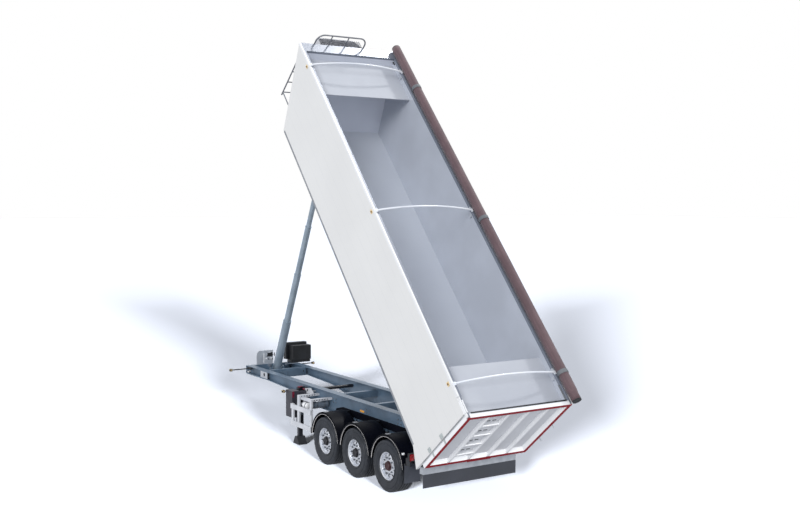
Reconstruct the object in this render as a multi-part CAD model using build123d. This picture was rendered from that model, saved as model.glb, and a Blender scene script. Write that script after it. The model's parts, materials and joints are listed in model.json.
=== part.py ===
from build123d import *
import math
import os

# Three-axle tipping semi-trailer with its bed raised. Lengths are in millimetres.
# X points forwards, to the tractor, Y to the left and Z up, with the road at Z 0.
# While it is drawn, X is counted from the rear axle; save() moves it to the part's frame.
# The bed is drawn in its own frame, u along the floor from the rear and w square to the
# floor from the side walls' lower edge, and is then turned up about the tipping hinge.

# ---- the part's frame ----
FRAME_X = 2618.0            # from the rear axle to the middle of the whole part's length

# ---- running gear ----
AXLE_PITCH = 1310.0
AXLE_COUNT = 3
TYRE_RADIUS = 536.0
TYRE_WIDTH = 385.0
TYRE_OUTER_Y = 1275.0
RIM_SEAT_RADIUS = 290.0     # where the tyre's beads sit on the rim
RIM_LIP_RADIUS = 304.0
RIM_WALL = 9.0
DISC_INSET = 62.0           # wheel disc's outer face, inwards from the tyre's side
DISC_WALL = 22.0
HAND_HOLES = 10
HAND_HOLE_RADIUS = 26.0
HAND_HOLE_CIRCLE = 215.0
HUB_RADIUS = 138.0
HUB_CAP_RADIUS = 82.0
HUB_CAP_REACH = 48.0        # out past the wheel disc
SPINDLE_RADIUS = 45.0
SHAFT_GAP = 0.3             # radial clearance of a shaft in its bore
AXLE_RADIUS = 63.5
BRAKE_DRUM_RADIUS = 215.0
BRAKE_DRUM_Y = (-20.0, 130.0)       # drum's ends, outwards from the tyre's inner side
TYRE_BEAD_SECTION = ((0.0, 45.0), (60.0, 6.0), (130.0, 0.0))    # past the rim seat, in from the side
TYRE_TREAD_SECTION = ((-40.0, 8.0), (-8.0, 40.0), (0.0, 75.0))  # past the tread radius, in from the side
RIM_END_INSET = 25.0        # rim's ends, inwards from the tyre's sides
RIM_LIP_WALL = 6.0
RIM_LIP_INSET = 28.0
HUB_LENGTH = 90.0
HUB_BORE_DEPTH = 110.0
SUSPENSION_ARM_REAR = 500.0         # behind the axle
SUSPENSION_ARM_FRONT = 440.0        # before the axle
SUSPENSION_ARM_WIDTH = 100.0
SUSPENSION_ARM_HEIGHT = 80.0
HANGER_LENGTH = 140.0
HANGER_WIDTH = 120.0
AIR_SPRING_RADIUS = 115.0
AIR_SPRING_BEHIND = 380.0

# ---- chassis ----
RAIL_OUTER_Y = 715.0
RAIL_WIDTH = 190.0
RAIL_WEB = 12.0
RAIL_FLANGE = 16.0
RAIL_TOP_Z = 1470.0
RAIL_FRONT_X = 8050.0
NECK_BOTTOM_Z = 1270.0
NECK_REAR_X = 5500.0
NECK_REAR_Z = 1220.0
BELLY_FRONT_X = 4400.0
BELLY_Z = 1020.0
RAIL_REAR_X = -450.0
RAIL_TAIL_DROP = 20.0       # tail web's top, below the rail's top
CROSS_TUBE_X = 4600.0
CROSS_TUBE_Z = 1322.0
CROSS_TUBE_RADIUS = 39.0
CROSS_BEAM_XS = (3470.0, 1980.0, 655.0)
CROSS_BEAM_LENGTH = 120.0
CROSS_BEAM_Z = (1240.0, 1390.0)
NECK_BEAM_LENGTH = 120.0
FRONT_BEAM_LENGTH = 100.0

# ---- tipping hinge ----
TIP_ANGLE = 48.84           # from the bed on its rails to the bed fully raised
HINGE_X = -668.0
HINGE_Z = 1250.0
HINGE_U = 681.0
HINGE_W = -155.0
HINGE_SHAFT_RADIUS = 40.0
HINGE_BOSS_RADIUS = 105.0
HINGE_PLATE = 35.0
HINGE_SIDE_GAP = 8.0
HINGE_SHAFT_PAST = 20.0     # shaft's ends, out past the bed's hinge plates

# ---- bed ----
BED_OUTER_Y = 1260.0
BED_WALL = 60.0
BED_HEIGHT = 1870.0         # side walls, up to the rail along their top
TOP_RAIL_HEIGHT = 60.0
TOP_RAIL_WIDTH = 85.0
TOP_RAIL_REAR_U = 340.0
TOP_RAIL_PAST = 15.0        # rail's outer face, out past the side wall
BED_TOP_U = 9850.0          # foremost point of the side walls, at their top
BED_FRONT_RAKE = 910.0      # foremost point of their lower edge, behind that at their top
TAIL_DROP = 200.0           # the side walls reach this far below at the very rear
TAIL_LENGTH = 393.0
FLOOR_UNDER_W = 180.0
FLOOR_WALL = 40.0
FRONT_WALL = 60.0
FRONT_SETBACK = 204.3       # front wall's outside, along u, behind the side walls' front edges
HEADER_LENGTH = 270.0
SHELF_W = 1730.0
SHELF_WALL = 20.0
FRONT_SHELF_LENGTH = 1140.8
REAR_SHELF_START_U = 50.0
REAR_SHELF_END_U = 1080.0
RUNNER_GAP = 6.0            # between runner and rail with the bed down
BEARER_COUNT = 13
BEARER_LENGTH = 60.0
BEARER_HEIGHT = 80.0
BEARER_REAR_U = 120.0
BEARER_FRONT_INSET = 216.0  # runners' front ends, behind the foot of the front wall
HINGE_EYE_RADIUS = 90.0
HINGE_PLATE_REACH = 330.0

# ---- tarp, hoops, catwalk, ladder ----
HOOP_REAR_U = 600.0
HOOP_MIDDLE_U = 4790.0
HOOP_FRONT_INSET = 750.0    # front hoop, behind the top rails' front ends
HOOP_RISE = 130.0
HOOP_RADIUS = 20.0
HOOP_PAD = 30.0
HOOP_PAD_HALF = (35.0, 22.0)        # half of its length and of its width
HOOP_SINK = 8.0             # tube's ends, down inside the pads
HOOP_Y = (1230.0, -1180.0)
ROLL_RADIUS = 110.0
ROLL_Y = -1280.0
ROLL_REAR_U = -130.0
ROLL_CAP_LENGTH = 24.0
ROLL_CAP_RADIUS = 102.0
CATWALK_LENGTH = 260.0
CATWALK_W = 1872.0
CATWALK_WALL = 40.0
CATWALK_LEFT_Y = 900.0
CATWALK_RIGHT_Y = -430.0
CATWALK_CHAMFER = 190.0
RAILING_TOP_W = 2210.0
RAILING_RADIUS = 17.0
RAILING_POST_RADIUS = 13.6
RAILING_INSET = 6.0         # tube's rear side, forwards from the catwalk's rear edge
RAILING_SIDE_INSET = 30.0
RAILING_CORNER = 190.0
RAILING_POSTS_Y = (500.0, 65.0)
LADDER_Y = (850.0, 1180.0)
LADDER_OUT = 119.0          # stiles, ahead of the front wall at their top
LADDER_BOTTOM_W = 380.0
LADDER_TOP_W = 1860.0
LADDER_RUNGS = 5
LADDER_RADIUS = 16.0
LADDER_RUNG_RADIUS = 13.0
LADDER_RUNG_INSET = 90.0    # first and last rungs, in from the stiles' ends
LADDER_LUG_INSET = 90.0
LADDER_LUG_HEIGHT = 36.0
LADDER_LUG_WALL = 12.0

# ---- tailgate ----
GATE_REAR_U = -120.0
GATE_WALL = 90.0
GATE_OUTER_Y = 1250.0
GATE_BOTTOM_W = 50.0
GATE_TOP_W = 1925.0
GATE_FRAME = 55.0
GATE_SHEET = 18.0
GATE_RIBS = 4
GATE_RIB_WIDTH = 70.0
GATE_PIN_U = -75.0
GATE_PIN_W = 1897.0
GATE_PIN_RADIUS = 14.0
GATE_EAR_RADIUS = 28.0
GATE_EAR_WALL = 54.0
GATE_EAR_OUTER_Y = 1257.0
GATE_PIN_INSET = 2.0        # pin's end, inwards from the ear's outer face
GATE_RIB_INSET = 12.0
GATE_STEPS_W = (384.0, 745.0, 1106.0, 1467.0)
GATE_STEP_WALL = 28.0
GATE_STEP_BAY = 1           # counted from the left
GATE_SIDE_GAP = 8.0

# ---- ram ----
RAM_FOOT_X = 7640.0
RAM_FOOT_Z = 1400.0
RAM_EYE_OUT = 154.4         # head pin, along u, ahead of the front wall
RAM_EYE_W = 1500.0
RAM_TRUNNION_RADIUS = 30.0
RAM_BARREL_RADIUS = 108.0
RAM_BARREL_WALL = 12.0
RAM_BARREL_BELOW = 80.0
RAM_HEAD_ROOM = 131.9       # barrel's top, below the head pin with the ram in
RAM_STAGE_RADII = (88.0, 76.0, 65.0, 55.0, 45.0)
RAM_STAGE_WALL = 6.0
RAM_FOOT_WALL = 8.0
RAM_FOOT_STEP = 9.0         # each stage's foot stands this far above the last with the ram in
RAM_COLLAR_HEIGHT = 14.0
RAM_COLLAR_GAP = 4.0
RAM_COLLAR_LIP = 7.0
RAM_COLLAR_PITCH = 18.0
RAM_EYE_RADIUS = 45.0
RAM_EYE_BORE = 25.0
RAM_EYE_NECK = 63.0
RAM_EYE_WIDTH = 70.0
RAM_EAR_WALL = 25.0
RAM_EAR_RADIUS = 43.0
RAM_EAR_GAP = 12.0
RAM_STUB_RADIUS = 24.0
RAM_STUB_GAP = 0.5          # the head pin's stubs stop this short of the eye
RAM_GLAND = 22.0            # height of the guide rings
CRADLE_Y = (150.0, 190.0)
CRADLE_REACH = 180.0        # foot of a cradle plate, before and behind its pin
CRADLE_EYE_RADIUS = 65.0
TRUNNION_PAST = 10.0        # trunnions' ends, out past the cradle plates
TRUNNION_ROOT = 6.0         # trunnions' roots, inside the barrel's wall

# ---- front end and coupling ----
SKID_WALL = 16.0
SKID_REAR_X = 6950.0
KINGPIN_X = 7200.0
KINGPIN_COLLAR_RADIUS = 36.5
KINGPIN_NECK_RADIUS = 25.4
KINGPIN_FOOT_RADIUS = 35.75
KINGPIN_COLLAR = 30.0
KINGPIN_NECK = 35.0
KINGPIN_FOOT = 19.0

PANEL_X = 8000.0            # air coupling panel
PANEL_WALL = 25.0
PANEL_INNER_Y = -60.0
PANEL_OUTER_Y = 420.0
PANEL_TOP_Z = 1840.0
PANEL_CORNER = 110.0
SOCKET_Y = (20.0, 130.0)
SOCKET_Z = (1700.0, 1780.0)
SOCKET_DEPTH = 40.0

# ---- landing gear ----
LEG_X = 4750.0
LEG_Y = 785.0
LEG_WIDTH = 130.0
LEG_SPLIT_Z = 470.0
LEG_TOP_Z = 1380.0
LEG_INNER_WIDTH = 100.0
LEG_BRACKET_LENGTH = 220.0
LEG_BRACKET_Z = 1140.0
LEG_SHAFT_Z = 930.0
LEG_SHAFT_RADIUS = 22.0
FOOT_LENGTH = 300.0
FOOT_WIDTH = 220.0
FOOT_HEIGHT = 190.0
FOOT_WALL = 30.0

# ---- mudguards, side guards, locker ----
FENDER_RADIUS = 650.0
FENDER_WALL = 10.0
FENDER_INNER_Y = 750.0
FENDER_OUTER_Y = 1268.0
FENDER_END_Z = 600.0
FENDER_TUBE = 20.0
FENDER_TUBE_INSET = 40.0
GUARD_Y = 1200.0
GUARD_FRONT_X = 4440.0
GUARD_MIDDLE_X = 4050.0
GUARD_REAR_X = 3425.0
GUARD_HEIGHT = 115.0
GUARD_WALL = 28.0
GUARD_LOW_Z = 580.0
GUARD_HIGH_Z = 970.0
GUARD_TOP_Z = 1330.0
GUARD_POST_LENGTH = 90.0
GUARD_POST_DEPTH = 40.0
GUARD_ARM_HEIGHT = 50.0
LOCKER_X = (4510.0, 4840.0)
LOCKER_Y = (930.0, 1120.0)
LOCKER_Z = (710.0, 1350.0)
LOCKER_BRACKET_X = (4530.0, 4600.0)
LOCKER_BRACKET_Z = (1160.0, 1330.0)

# ---- rear end ----
BUMPER_X = -1165.0
BUMPER_DEPTH = 120.0
BUMPER_Y = 1150.0
BUMPER_Z = (600.0, 740.0)
ARM_REAR_X = -650.0
ARM_FRONT_X = -520.0
ARM_WALL = 40.0
ARM_KNEE_Z = 900.0
ARM_FOOT_X = -630.0
PLATE_WALL = 12.0
PLATE_BOTTOM_Z = 330.0
FLAP_X = -700.0
FLAP_Y = (900.0, 1280.0)
FLAP_Z = (340.0, 700.0)
FLAP_WALL = 8.0
FLAP_BAR_RADIUS = 20.0
LAMP_X = (-930.0, -870.0)
LAMP_Y = (1190.0, 1320.0)
LAMP_Z = (830.0, 985.0)
LAMP_BRACKET_Y = (1215.0, 1265.0)
LAMP_BRACKET_TOP_Z = 860.0

# ---- front end's fittings ----
STALK_LAMPS = (             # x, z, side and reach
    (7800.0, 1420.0, 1, 1300.0), (7800.0, 1420.0, -1, 1220.0), (4880.0, 1300.0, 1, 1200.0),
)
STALK_RADIUS = 14.0
STALK_LAMP_DEPTH = 60.0
STALK_LAMP_HALF = (35.0, 30.0)      # half of its length and of its height
BOX_X = (7750.0, 8160.0)
BOX_Y = (-1100.0, -550.0)
BOX_Z = (1550.0, 1940.0)
BOX_TANK_REAR_X = 8010.0     # taller part behind the box
BOX_TANK_HEIGHT = 60.0
BOX_TANK_PAST = 85.0
BOX_SHELF_X = (7800.0, 8060.0)
VALVE_PLATE_X = (6720.0, 7120.0)
VALVE_PLATE_Z = (1290.0, 1455.0)
VALVE_PLATE_WALL = 10.0


# ---- places that follow from the sizes ----
AXLE_XS = [AXLE_PITCH * i for i in range(AXLE_COUNT)]
TYRE_INNER_Y = TYRE_OUTER_Y - TYRE_WIDTH
RAIL_INNER_Y = RAIL_OUTER_Y - RAIL_WIDTH
RAIL_MID_Y = RAIL_OUTER_Y - RAIL_WIDTH / 2
WEB_Y = RAIL_MID_Y + RAIL_WEB / 2                   # outer face of a rail's web
WEB_INNER_Y = RAIL_MID_Y - RAIL_WEB / 2
ARM_SEAT_Z = TYRE_RADIUS + AXLE_RADIUS              # the suspension arms lie on the axles
BED_INNER_Y = BED_OUTER_Y - BED_WALL
BED_FOOT_U = BED_TOP_U - BED_FRONT_RAKE
TOP_W = BED_HEIGHT + TOP_RAIL_HEIGHT
FLOOR_W = FLOOR_UNDER_W + FLOOR_WALL
RAKE = (BED_TOP_U - BED_FOOT_U) / BED_HEIGHT        # the front's lean, u per w
FRONT_RUN = FRONT_WALL * math.hypot(1, RAKE)        # front wall's thickness along u
FRONT_INSIDE_U = BED_FOOT_U + FLOOR_W * RAKE - FRONT_SETBACK - FRONT_RUN    # at the floor
BEARER_FRONT_U = FRONT_INSIDE_U - BEARER_FRONT_INSET
HOOP_US = (HOOP_REAR_U, HOOP_MIDDLE_U, BED_TOP_U - HOOP_FRONT_INSET)
TIP = math.radians(TIP_ANGLE)
ROLL_W = TOP_W + ROLL_RADIUS + SHAFT_GAP
RUNNER_W = RAIL_TOP_Z + RUNNER_GAP - HINGE_Z + HINGE_W              # runners' underside
RUNNER_INNER_Y = RAIL_INNER_Y - HINGE_SIDE_GAP
RUNNER_OUTER_Y = RAIL_OUTER_Y + HINGE_SIDE_GAP


def bed_to_side_view(u, w):
    """Give x and z of a bed point with the bed raised, counted from the rear axle."""
    du, dw = u - HINGE_U, w - HINGE_W
    x = HINGE_X + du * math.cos(TIP) - dw * math.sin(TIP)
    z = HINGE_Z + du * math.sin(TIP) + dw * math.cos(TIP)
    return x, z


def lowered(u, w):
    """Give x and z of a bed point with the bed down on its rails."""
    return HINGE_X + u - HINGE_U, HINGE_Z + w - HINGE_W


def front_u(w):
    """Give u of the front wall's inside at height w."""
    return FRONT_INSIDE_U + (w - FLOOR_W) * RAKE


def front_face_u(w):
    """Give u of the front wall's outside at height w."""
    return front_u(w) + FRONT_RUN


LADDER_U = front_face_u(LADDER_TOP_W) + LADDER_OUT
RAM_EYE_U = front_face_u(RAM_EYE_W) + RAM_EYE_OUT
RAM_RAISED = bed_to_side_view(RAM_EYE_U, RAM_EYE_W)
RAM_LOWERED = lowered(RAM_EYE_U, RAM_EYE_W)
RAM_LONG = math.dist((RAM_FOOT_X, RAM_FOOT_Z), RAM_RAISED)
RAM_SHORT = math.dist((RAM_FOOT_X, RAM_FOOT_Z), RAM_LOWERED)
RAM_STROKE = (RAM_LONG - RAM_SHORT) / len(RAM_STAGE_RADII)
RAM_BARREL_TOP = RAM_SHORT - RAM_HEAD_ROOM
RAM_LEAN = math.degrees(math.atan2(RAM_RAISED[0] - RAM_FOOT_X, RAM_RAISED[1] - RAM_FOOT_Z))


# ---- building blocks ----
def block(x0, x1, y0, y1, z0, z1):
    """Box between two opposite corners."""
    middle = Pos((x0 + x1) / 2, (y0 + y1) / 2, (z0 + z1) / 2)
    return middle * Box(abs(x1 - x0), abs(y1 - y0), abs(z1 - z0))


def side_plate(points, y0, y1):
    """Plate whose outline is drawn in side view, from y0 to y1."""
    outline = make_face(Polyline(*points, close=True))
    return extrude(Plane.XZ.offset(-y1) * outline, amount=y1 - y0)


def rod_y(x, z, radius, y0, y1):
    """Round bar across the trailer."""
    return Pos(x, (y0 + y1) / 2, z) * Rot(90, 0, 0) * Cylinder(radius, y1 - y0)


def rod(start, end, radius):
    """Round bar between two points."""
    a, b = Vector(*start), Vector(*end)
    plane = Plane(origin=a, z_dir=b - a)
    return plane * Cylinder(radius, (b - a).length, align=(Align.CENTER, Align.CENTER, Align.MIN))


def bent_tube(points, bend, radius):
    """Round tube along straight runs joined by arcs."""
    path = FilletPolyline(*points, radius=bend) if bend else Polyline(*points)
    return sweep(Plane(origin=path @ 0, z_dir=path % 0) * Circle(radius), path=path)


def other_side(shape):
    """The same piece on the trailer's other side."""
    return mirror(shape, about=Plane.XZ)


def both_sides(shape):
    """The piece and its twin on the other side."""
    return [shape, other_side(shape)]


def raised(shape):
    """Turn a bed piece from the bed's own frame up into its place."""
    x, z = bed_to_side_view(0, 0)
    return Location((x, 0, z), (0, -TIP_ANGLE, 0)) * shape


def save(name, *solids):
    """Write one node, moved from the rear axle's frame to the part's."""
    placed = [Pos(-FRAME_X, 0, 0) * solid for solid in solids]
    shape = placed[0] if len(placed) == 1 else Compound(children=placed)
    export_step(shape, f"parts/{name}.step")


# ---- chassis ----
def rail_outline():
    """Side view of a chassis rail: shallow neck, deep belly, tapered tail."""
    return [
        (RAIL_REAR_X, RAIL_TOP_Z), (RAIL_FRONT_X, RAIL_TOP_Z), (RAIL_FRONT_X, NECK_BOTTOM_Z),
        (SKID_REAR_X, NECK_BOTTOM_Z), (NECK_REAR_X, NECK_REAR_Z), (BELLY_FRONT_X, BELLY_Z),
        (RAIL_REAR_X, BELLY_Z),
    ]


def rail():
    """I-section rail with a boss for the hinge shaft at its tail."""
    outline = rail_outline()
    inner_y, outer_y = RAIL_INNER_Y, RAIL_OUTER_Y
    solid = side_plate(outline, inner_y, outer_y)
    window = offset(make_face(Polyline(*outline, close=True)), amount=-RAIL_FLANGE, kind=Kind.INTERSECTION)
    for y0, y1 in ((inner_y - 1, WEB_INNER_Y), (WEB_Y, outer_y + 1)):
        solid -= extrude(Plane.XZ.offset(-y1) * window, amount=y1 - y0)
    tail = side_plate(
        [(HINGE_X, HINGE_Z + HINGE_BOSS_RADIUS), (RAIL_REAR_X, RAIL_TOP_Z - RAIL_TAIL_DROP),
         (RAIL_REAR_X, BELLY_Z), (HINGE_X, HINGE_Z - HINGE_BOSS_RADIUS)], inner_y, outer_y)
    boss = rod_y(HINGE_X, HINGE_Z, HINGE_BOSS_RADIUS, inner_y, outer_y)
    bore = rod_y(HINGE_X, HINGE_Z, HINGE_SHAFT_RADIUS + SHAFT_GAP, inner_y - 1, outer_y + 1)
    return solid + tail + boss - bore


def cross_members():
    """Tube and beams between the rails."""
    half = WEB_INNER_Y
    beam = CROSS_BEAM_LENGTH / 2
    members = [rod_y(CROSS_TUBE_X, CROSS_TUBE_Z, CROSS_TUBE_RADIUS, -half, half)]
    for x in CROSS_BEAM_XS:
        members.append(block(x - beam, x + beam, -half, half, *CROSS_BEAM_Z))
    inner = RAIL_INNER_Y
    for x, length in ((SKID_REAR_X, NECK_BEAM_LENGTH), (RAIL_FRONT_X - FRONT_BEAM_LENGTH, FRONT_BEAM_LENGTH)):
        members.append(block(x, x + length, -inner, inner, NECK_BOTTOM_Z, RAIL_TOP_Z))
    return members


def skid_plate():
    """Plate under the neck that rides on the tractor's coupling."""
    z1 = NECK_BOTTOM_Z
    return block(SKID_REAR_X, RAIL_FRONT_X, -RAIL_OUTER_Y, RAIL_OUTER_Y, z1 - SKID_WALL, z1)


def kingpin():
    """Coupling pin: collar, neck and foot flange under the skid plate."""
    z = NECK_BOTTOM_Z - SKID_WALL
    pin = None
    for radius, length in ((KINGPIN_COLLAR_RADIUS, KINGPIN_COLLAR), (KINGPIN_NECK_RADIUS, KINGPIN_NECK),
                           (KINGPIN_FOOT_RADIUS, KINGPIN_FOOT)):
        step = Pos(KINGPIN_X, 0, z - length / 2) * Cylinder(radius, length)
        pin = step if pin is None else pin + step
        z -= length
    return pin


def landing_leg():
    """Fixed upper tube of a landing leg, and its bracket to the rail."""
    half, reach = LEG_WIDTH / 2, LEG_BRACKET_LENGTH / 2
    inner = LEG_Y - half
    tube = block(LEG_X - half, LEG_X + half, inner, LEG_Y + half, LEG_SPLIT_Z, LEG_TOP_Z)
    bracket = block(LEG_X - reach, LEG_X + reach, WEB_Y, inner, LEG_BRACKET_Z, LEG_TOP_Z)
    return [tube, bracket]


def landing_foot():
    """Lower tube of a landing leg, and its flared foot."""
    half, reach = LEG_INNER_WIDTH / 2, FOOT_LENGTH / 2
    tube = block(LEG_X - half, LEG_X + half, LEG_Y - half, LEG_Y + half, FOOT_HEIGHT, LEG_SPLIT_Z)
    foot = side_plate([(LEG_X - reach, 0), (LEG_X + reach, 0), (LEG_X + reach, FOOT_WALL),
                       (LEG_X + half, FOOT_HEIGHT), (LEG_X - half, FOOT_HEIGHT), (LEG_X - reach, FOOT_WALL)],
                      LEG_Y - FOOT_WIDTH / 2, LEG_Y + FOOT_WIDTH / 2)
    return [tube, foot]


def landing_shaft():
    """Shaft that turns both legs together."""
    reach = LEG_Y - LEG_WIDTH / 2
    return rod_y(LEG_X, LEG_SHAFT_Z, LEG_SHAFT_RADIUS, -reach, reach)


def axle_beam(x):
    """Axle with brake drums and the spindles that carry the wheels."""
    spindle = TYRE_OUTER_Y - DISC_INSET - DISC_WALL
    beam = rod_y(x, TYRE_RADIUS, AXLE_RADIUS, -TYRE_INNER_Y, TYRE_INNER_Y)
    spindles = rod_y(x, TYRE_RADIUS, SPINDLE_RADIUS, -spindle, spindle)
    solid = beam + spindles
    for side in (-1, 1):
        y0, y1 = sorted(side * (TYRE_INNER_Y + end) for end in BRAKE_DRUM_Y)
        solid += rod_y(x, TYRE_RADIUS, BRAKE_DRUM_RADIUS, y0, y1)
    return solid


def suspension_arm(x):
    """Trailing arm from its hanger to the air spring's seat."""
    half = SUSPENSION_ARM_WIDTH / 2
    return block(x - SUSPENSION_ARM_REAR, x + SUSPENSION_ARM_FRONT, RAIL_MID_Y - half, RAIL_MID_Y + half,
                 ARM_SEAT_Z, ARM_SEAT_Z + SUSPENSION_ARM_HEIGHT)


def tail_bottom(x):
    """Height of the rail's underside along its tapered tail."""
    share = (x - HINGE_X) / (RAIL_REAR_X - HINGE_X)
    boss = HINGE_Z - HINGE_BOSS_RADIUS
    return boss + share * (BELLY_Z - boss)


def suspension_hanger(x):
    """Bracket under the rail that carries the arm's front end."""
    rear, half = x + SUSPENSION_ARM_FRONT, HANGER_WIDTH / 2
    return block(rear, rear + HANGER_LENGTH, RAIL_MID_Y - half, RAIL_MID_Y + half, TYRE_RADIUS, BELLY_Z)


def air_spring(x):
    """Rolling air spring between the arm and the rail."""
    z0 = ARM_SEAT_Z + SUSPENSION_ARM_HEIGHT
    middle = Pos(x - AIR_SPRING_BEHIND, RAIL_MID_Y, (z0 + BELLY_Z) / 2)
    return middle * Cylinder(AIR_SPRING_RADIUS, BELLY_Z - z0)


def fender(x):
    """Arched mudguard over one wheel."""
    outer = rod_y(x, TYRE_RADIUS, FENDER_RADIUS, FENDER_INNER_Y, FENDER_OUTER_Y)
    inner = rod_y(x, TYRE_RADIUS, FENDER_RADIUS - FENDER_WALL, FENDER_INNER_Y - 1, FENDER_OUTER_Y + 1)
    below = block(x - FENDER_RADIUS - 1, x + FENDER_RADIUS + 1, FENDER_INNER_Y - 1, FENDER_OUTER_Y + 1,
                  TYRE_RADIUS - FENDER_RADIUS - 1, FENDER_END_Z)
    return outer - inner - below


def fender_tube(x):
    """Tube from the rail that the mudguard lies on."""
    z = TYRE_RADIUS + FENDER_RADIUS - FENDER_WALL - FENDER_TUBE
    return rod_y(x, z, FENDER_TUBE, WEB_Y, FENDER_OUTER_Y - FENDER_TUBE_INSET)


def side_guard():
    """Two boards, a post at their front ends, and two posts that hang from arms on the rail."""
    rear, front, inner = GUARD_REAR_X, GUARD_FRONT_X, GUARD_Y - GUARD_WALL
    pieces = [block(rear, front, inner, GUARD_Y, z, z + GUARD_HEIGHT) for z in (GUARD_LOW_Z, GUARD_HIGH_Z)]
    back, arm_z = inner - GUARD_POST_DEPTH, GUARD_TOP_Z - GUARD_ARM_HEIGHT
    for x in (rear, GUARD_MIDDLE_X):
        pieces.append(block(x, x + GUARD_POST_LENGTH, back, inner, GUARD_LOW_Z, GUARD_TOP_Z))
        pieces.append(block(x, x + GUARD_POST_LENGTH, WEB_Y, back, arm_z, GUARD_TOP_Z))
    board_top = GUARD_HIGH_Z + GUARD_HEIGHT
    pieces.append(block(front - GUARD_POST_LENGTH, front, back, inner, GUARD_LOW_Z, board_top))
    return pieces


def extinguisher_box():
    """Locker outside the left rail, on its bracket behind the landing leg."""
    bracket = block(*LOCKER_BRACKET_X, WEB_Y, LOCKER_Y[0], *LOCKER_BRACKET_Z)
    return [block(*LOCKER_X, *LOCKER_Y, *LOCKER_Z), bracket]


def rear_bumper():
    """Cross beam on two arms under the rails' tails."""
    z0, z1 = BUMPER_Z
    solid = block(BUMPER_X, BUMPER_X + BUMPER_DEPTH, -BUMPER_Y, BUMPER_Y, z0, z1)
    near = BUMPER_X + BUMPER_DEPTH
    arm = side_plate([(near, z0), (near, z1), (ARM_REAR_X, tail_bottom(ARM_REAR_X)),
                      (ARM_FRONT_X, tail_bottom(ARM_FRONT_X)), (ARM_FRONT_X, ARM_KNEE_Z), (ARM_FOOT_X, z0)],
                     RAIL_MID_Y - ARM_WALL / 2, RAIL_MID_Y + ARM_WALL / 2)
    for piece in both_sides(arm):
        solid += piece
    return solid


def bumper_plate():
    """Bare plate hung under the cross beam."""
    return block(BUMPER_X, BUMPER_X + PLATE_WALL, -BUMPER_Y, BUMPER_Y, PLATE_BOTTOM_Z, BUMPER_Z[0])


def mudflap_bars():
    """Bar from a bumper arm that holds the mudflap, and the rear lamp's bracket on it."""
    z = FLAP_Z[1] + FLAP_BAR_RADIUS
    bar = rod_y(FLAP_X, z, FLAP_BAR_RADIUS, RAIL_MID_Y + ARM_WALL / 2, FLAP_Y[1])
    rear, front = LAMP_X[1], FLAP_X - FLAP_BAR_RADIUS
    bracket = block(rear, front, *LAMP_BRACKET_Y, z - FLAP_BAR_RADIUS / 2, LAMP_BRACKET_TOP_Z)
    return [bar, bracket]


def mudflap():
    """Rubber flap behind the last wheel."""
    return block(FLAP_X - FLAP_WALL / 2, FLAP_X + FLAP_WALL / 2, *FLAP_Y, *FLAP_Z)


def rear_lamp():
    """Lamp cluster."""
    return block(*LAMP_X, *LAMP_Y, *LAMP_Z)


def air_panel():
    """Upright panel for the air couplings, with a rounded corner and a socket block."""
    panel = block(PANEL_X, PANEL_X + PANEL_WALL, PANEL_INNER_Y, PANEL_OUTER_Y, RAIL_TOP_Z, PANEL_TOP_Z)
    upper = panel.edges().filter_by(Axis.X).group_by(Axis.Z)[-1]
    panel = fillet(upper.sort_by(Axis.Y)[-1], PANEL_CORNER)
    return panel + block(PANEL_X - SOCKET_DEPTH, PANEL_X, *SOCKET_Y, *SOCKET_Z)


def valve_plate():
    """Plate on the left rail's side."""
    return block(*VALVE_PLATE_X, RAIL_OUTER_Y, RAIL_OUTER_Y + VALVE_PLATE_WALL, *VALVE_PLATE_Z)


def equipment_box():
    """Box and taller tank on a shelf over the right rail's front end."""
    low, high = BOX_Z
    right, left = BOX_Y
    shelf = block(*BOX_SHELF_X, right, -RAIL_INNER_Y, RAIL_TOP_Z, low)
    body = block(BOX_X[0], BOX_TANK_REAR_X, right, left, low, high)
    tank = block(BOX_TANK_REAR_X, BOX_X[1], right, left + BOX_TANK_PAST, low, high + BOX_TANK_HEIGHT)
    return [shelf, body, tank]


def stalk_lamp(x, z, side, reach):
    """Side lamp on an arm from the rail."""
    inner = reach - STALK_LAMP_DEPTH
    along, up = STALK_LAMP_HALF
    arm = rod((x, side * WEB_Y, z), (x, side * inner, z), STALK_RADIUS)
    return [arm, block(x - along, x + along, side * inner, side * reach, z - up, z + up)]


def ram_cradle():
    """Two brackets on the skid plate that hold the ram's trunnions."""
    pieces = []
    for side in (-1, 1):
        y0, y1 = sorted(side * y for y in CRADLE_Y)
        x, z, low, top = RAM_FOOT_X, RAM_FOOT_Z, CRADLE_REACH, CRADLE_EYE_RADIUS
        plate = side_plate([(x - low, NECK_BOTTOM_Z), (x + low, NECK_BOTTOM_Z), (x + top, z),
                            (x - top, z)], y0, y1)
        plate += rod_y(x, z, CRADLE_EYE_RADIUS, y0, y1)
        plate -= rod_y(x, z, RAM_TRUNNION_RADIUS + SHAFT_GAP, y0 - 1, y1 + 1)
        pieces.append(plate)
    return pieces


def hinge_shaft():
    """Shaft through both rails that the bed tips on."""
    reach = RUNNER_OUTER_Y + HINGE_PLATE + HINGE_SHAFT_PAST
    return rod_y(HINGE_X, HINGE_Z, HINGE_SHAFT_RADIUS, -reach, reach)


# ---- bed ----
def bed_side():
    """Side wall of the bed, from the tail to the raked front."""
    outline = [
        (0, -TAIL_DROP), (TAIL_LENGTH, 0), (BED_FOOT_U, 0), (BED_TOP_U, BED_HEIGHT), (0, BED_HEIGHT),
    ]
    return side_plate(outline, BED_INNER_Y, BED_OUTER_Y)


def top_rail():
    """Box rail along a side wall's top."""
    outer = BED_OUTER_Y + TOP_RAIL_PAST
    return block(TOP_RAIL_REAR_U, BED_TOP_U, outer - TOP_RAIL_WIDTH, outer, BED_HEIGHT, TOP_W)


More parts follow.
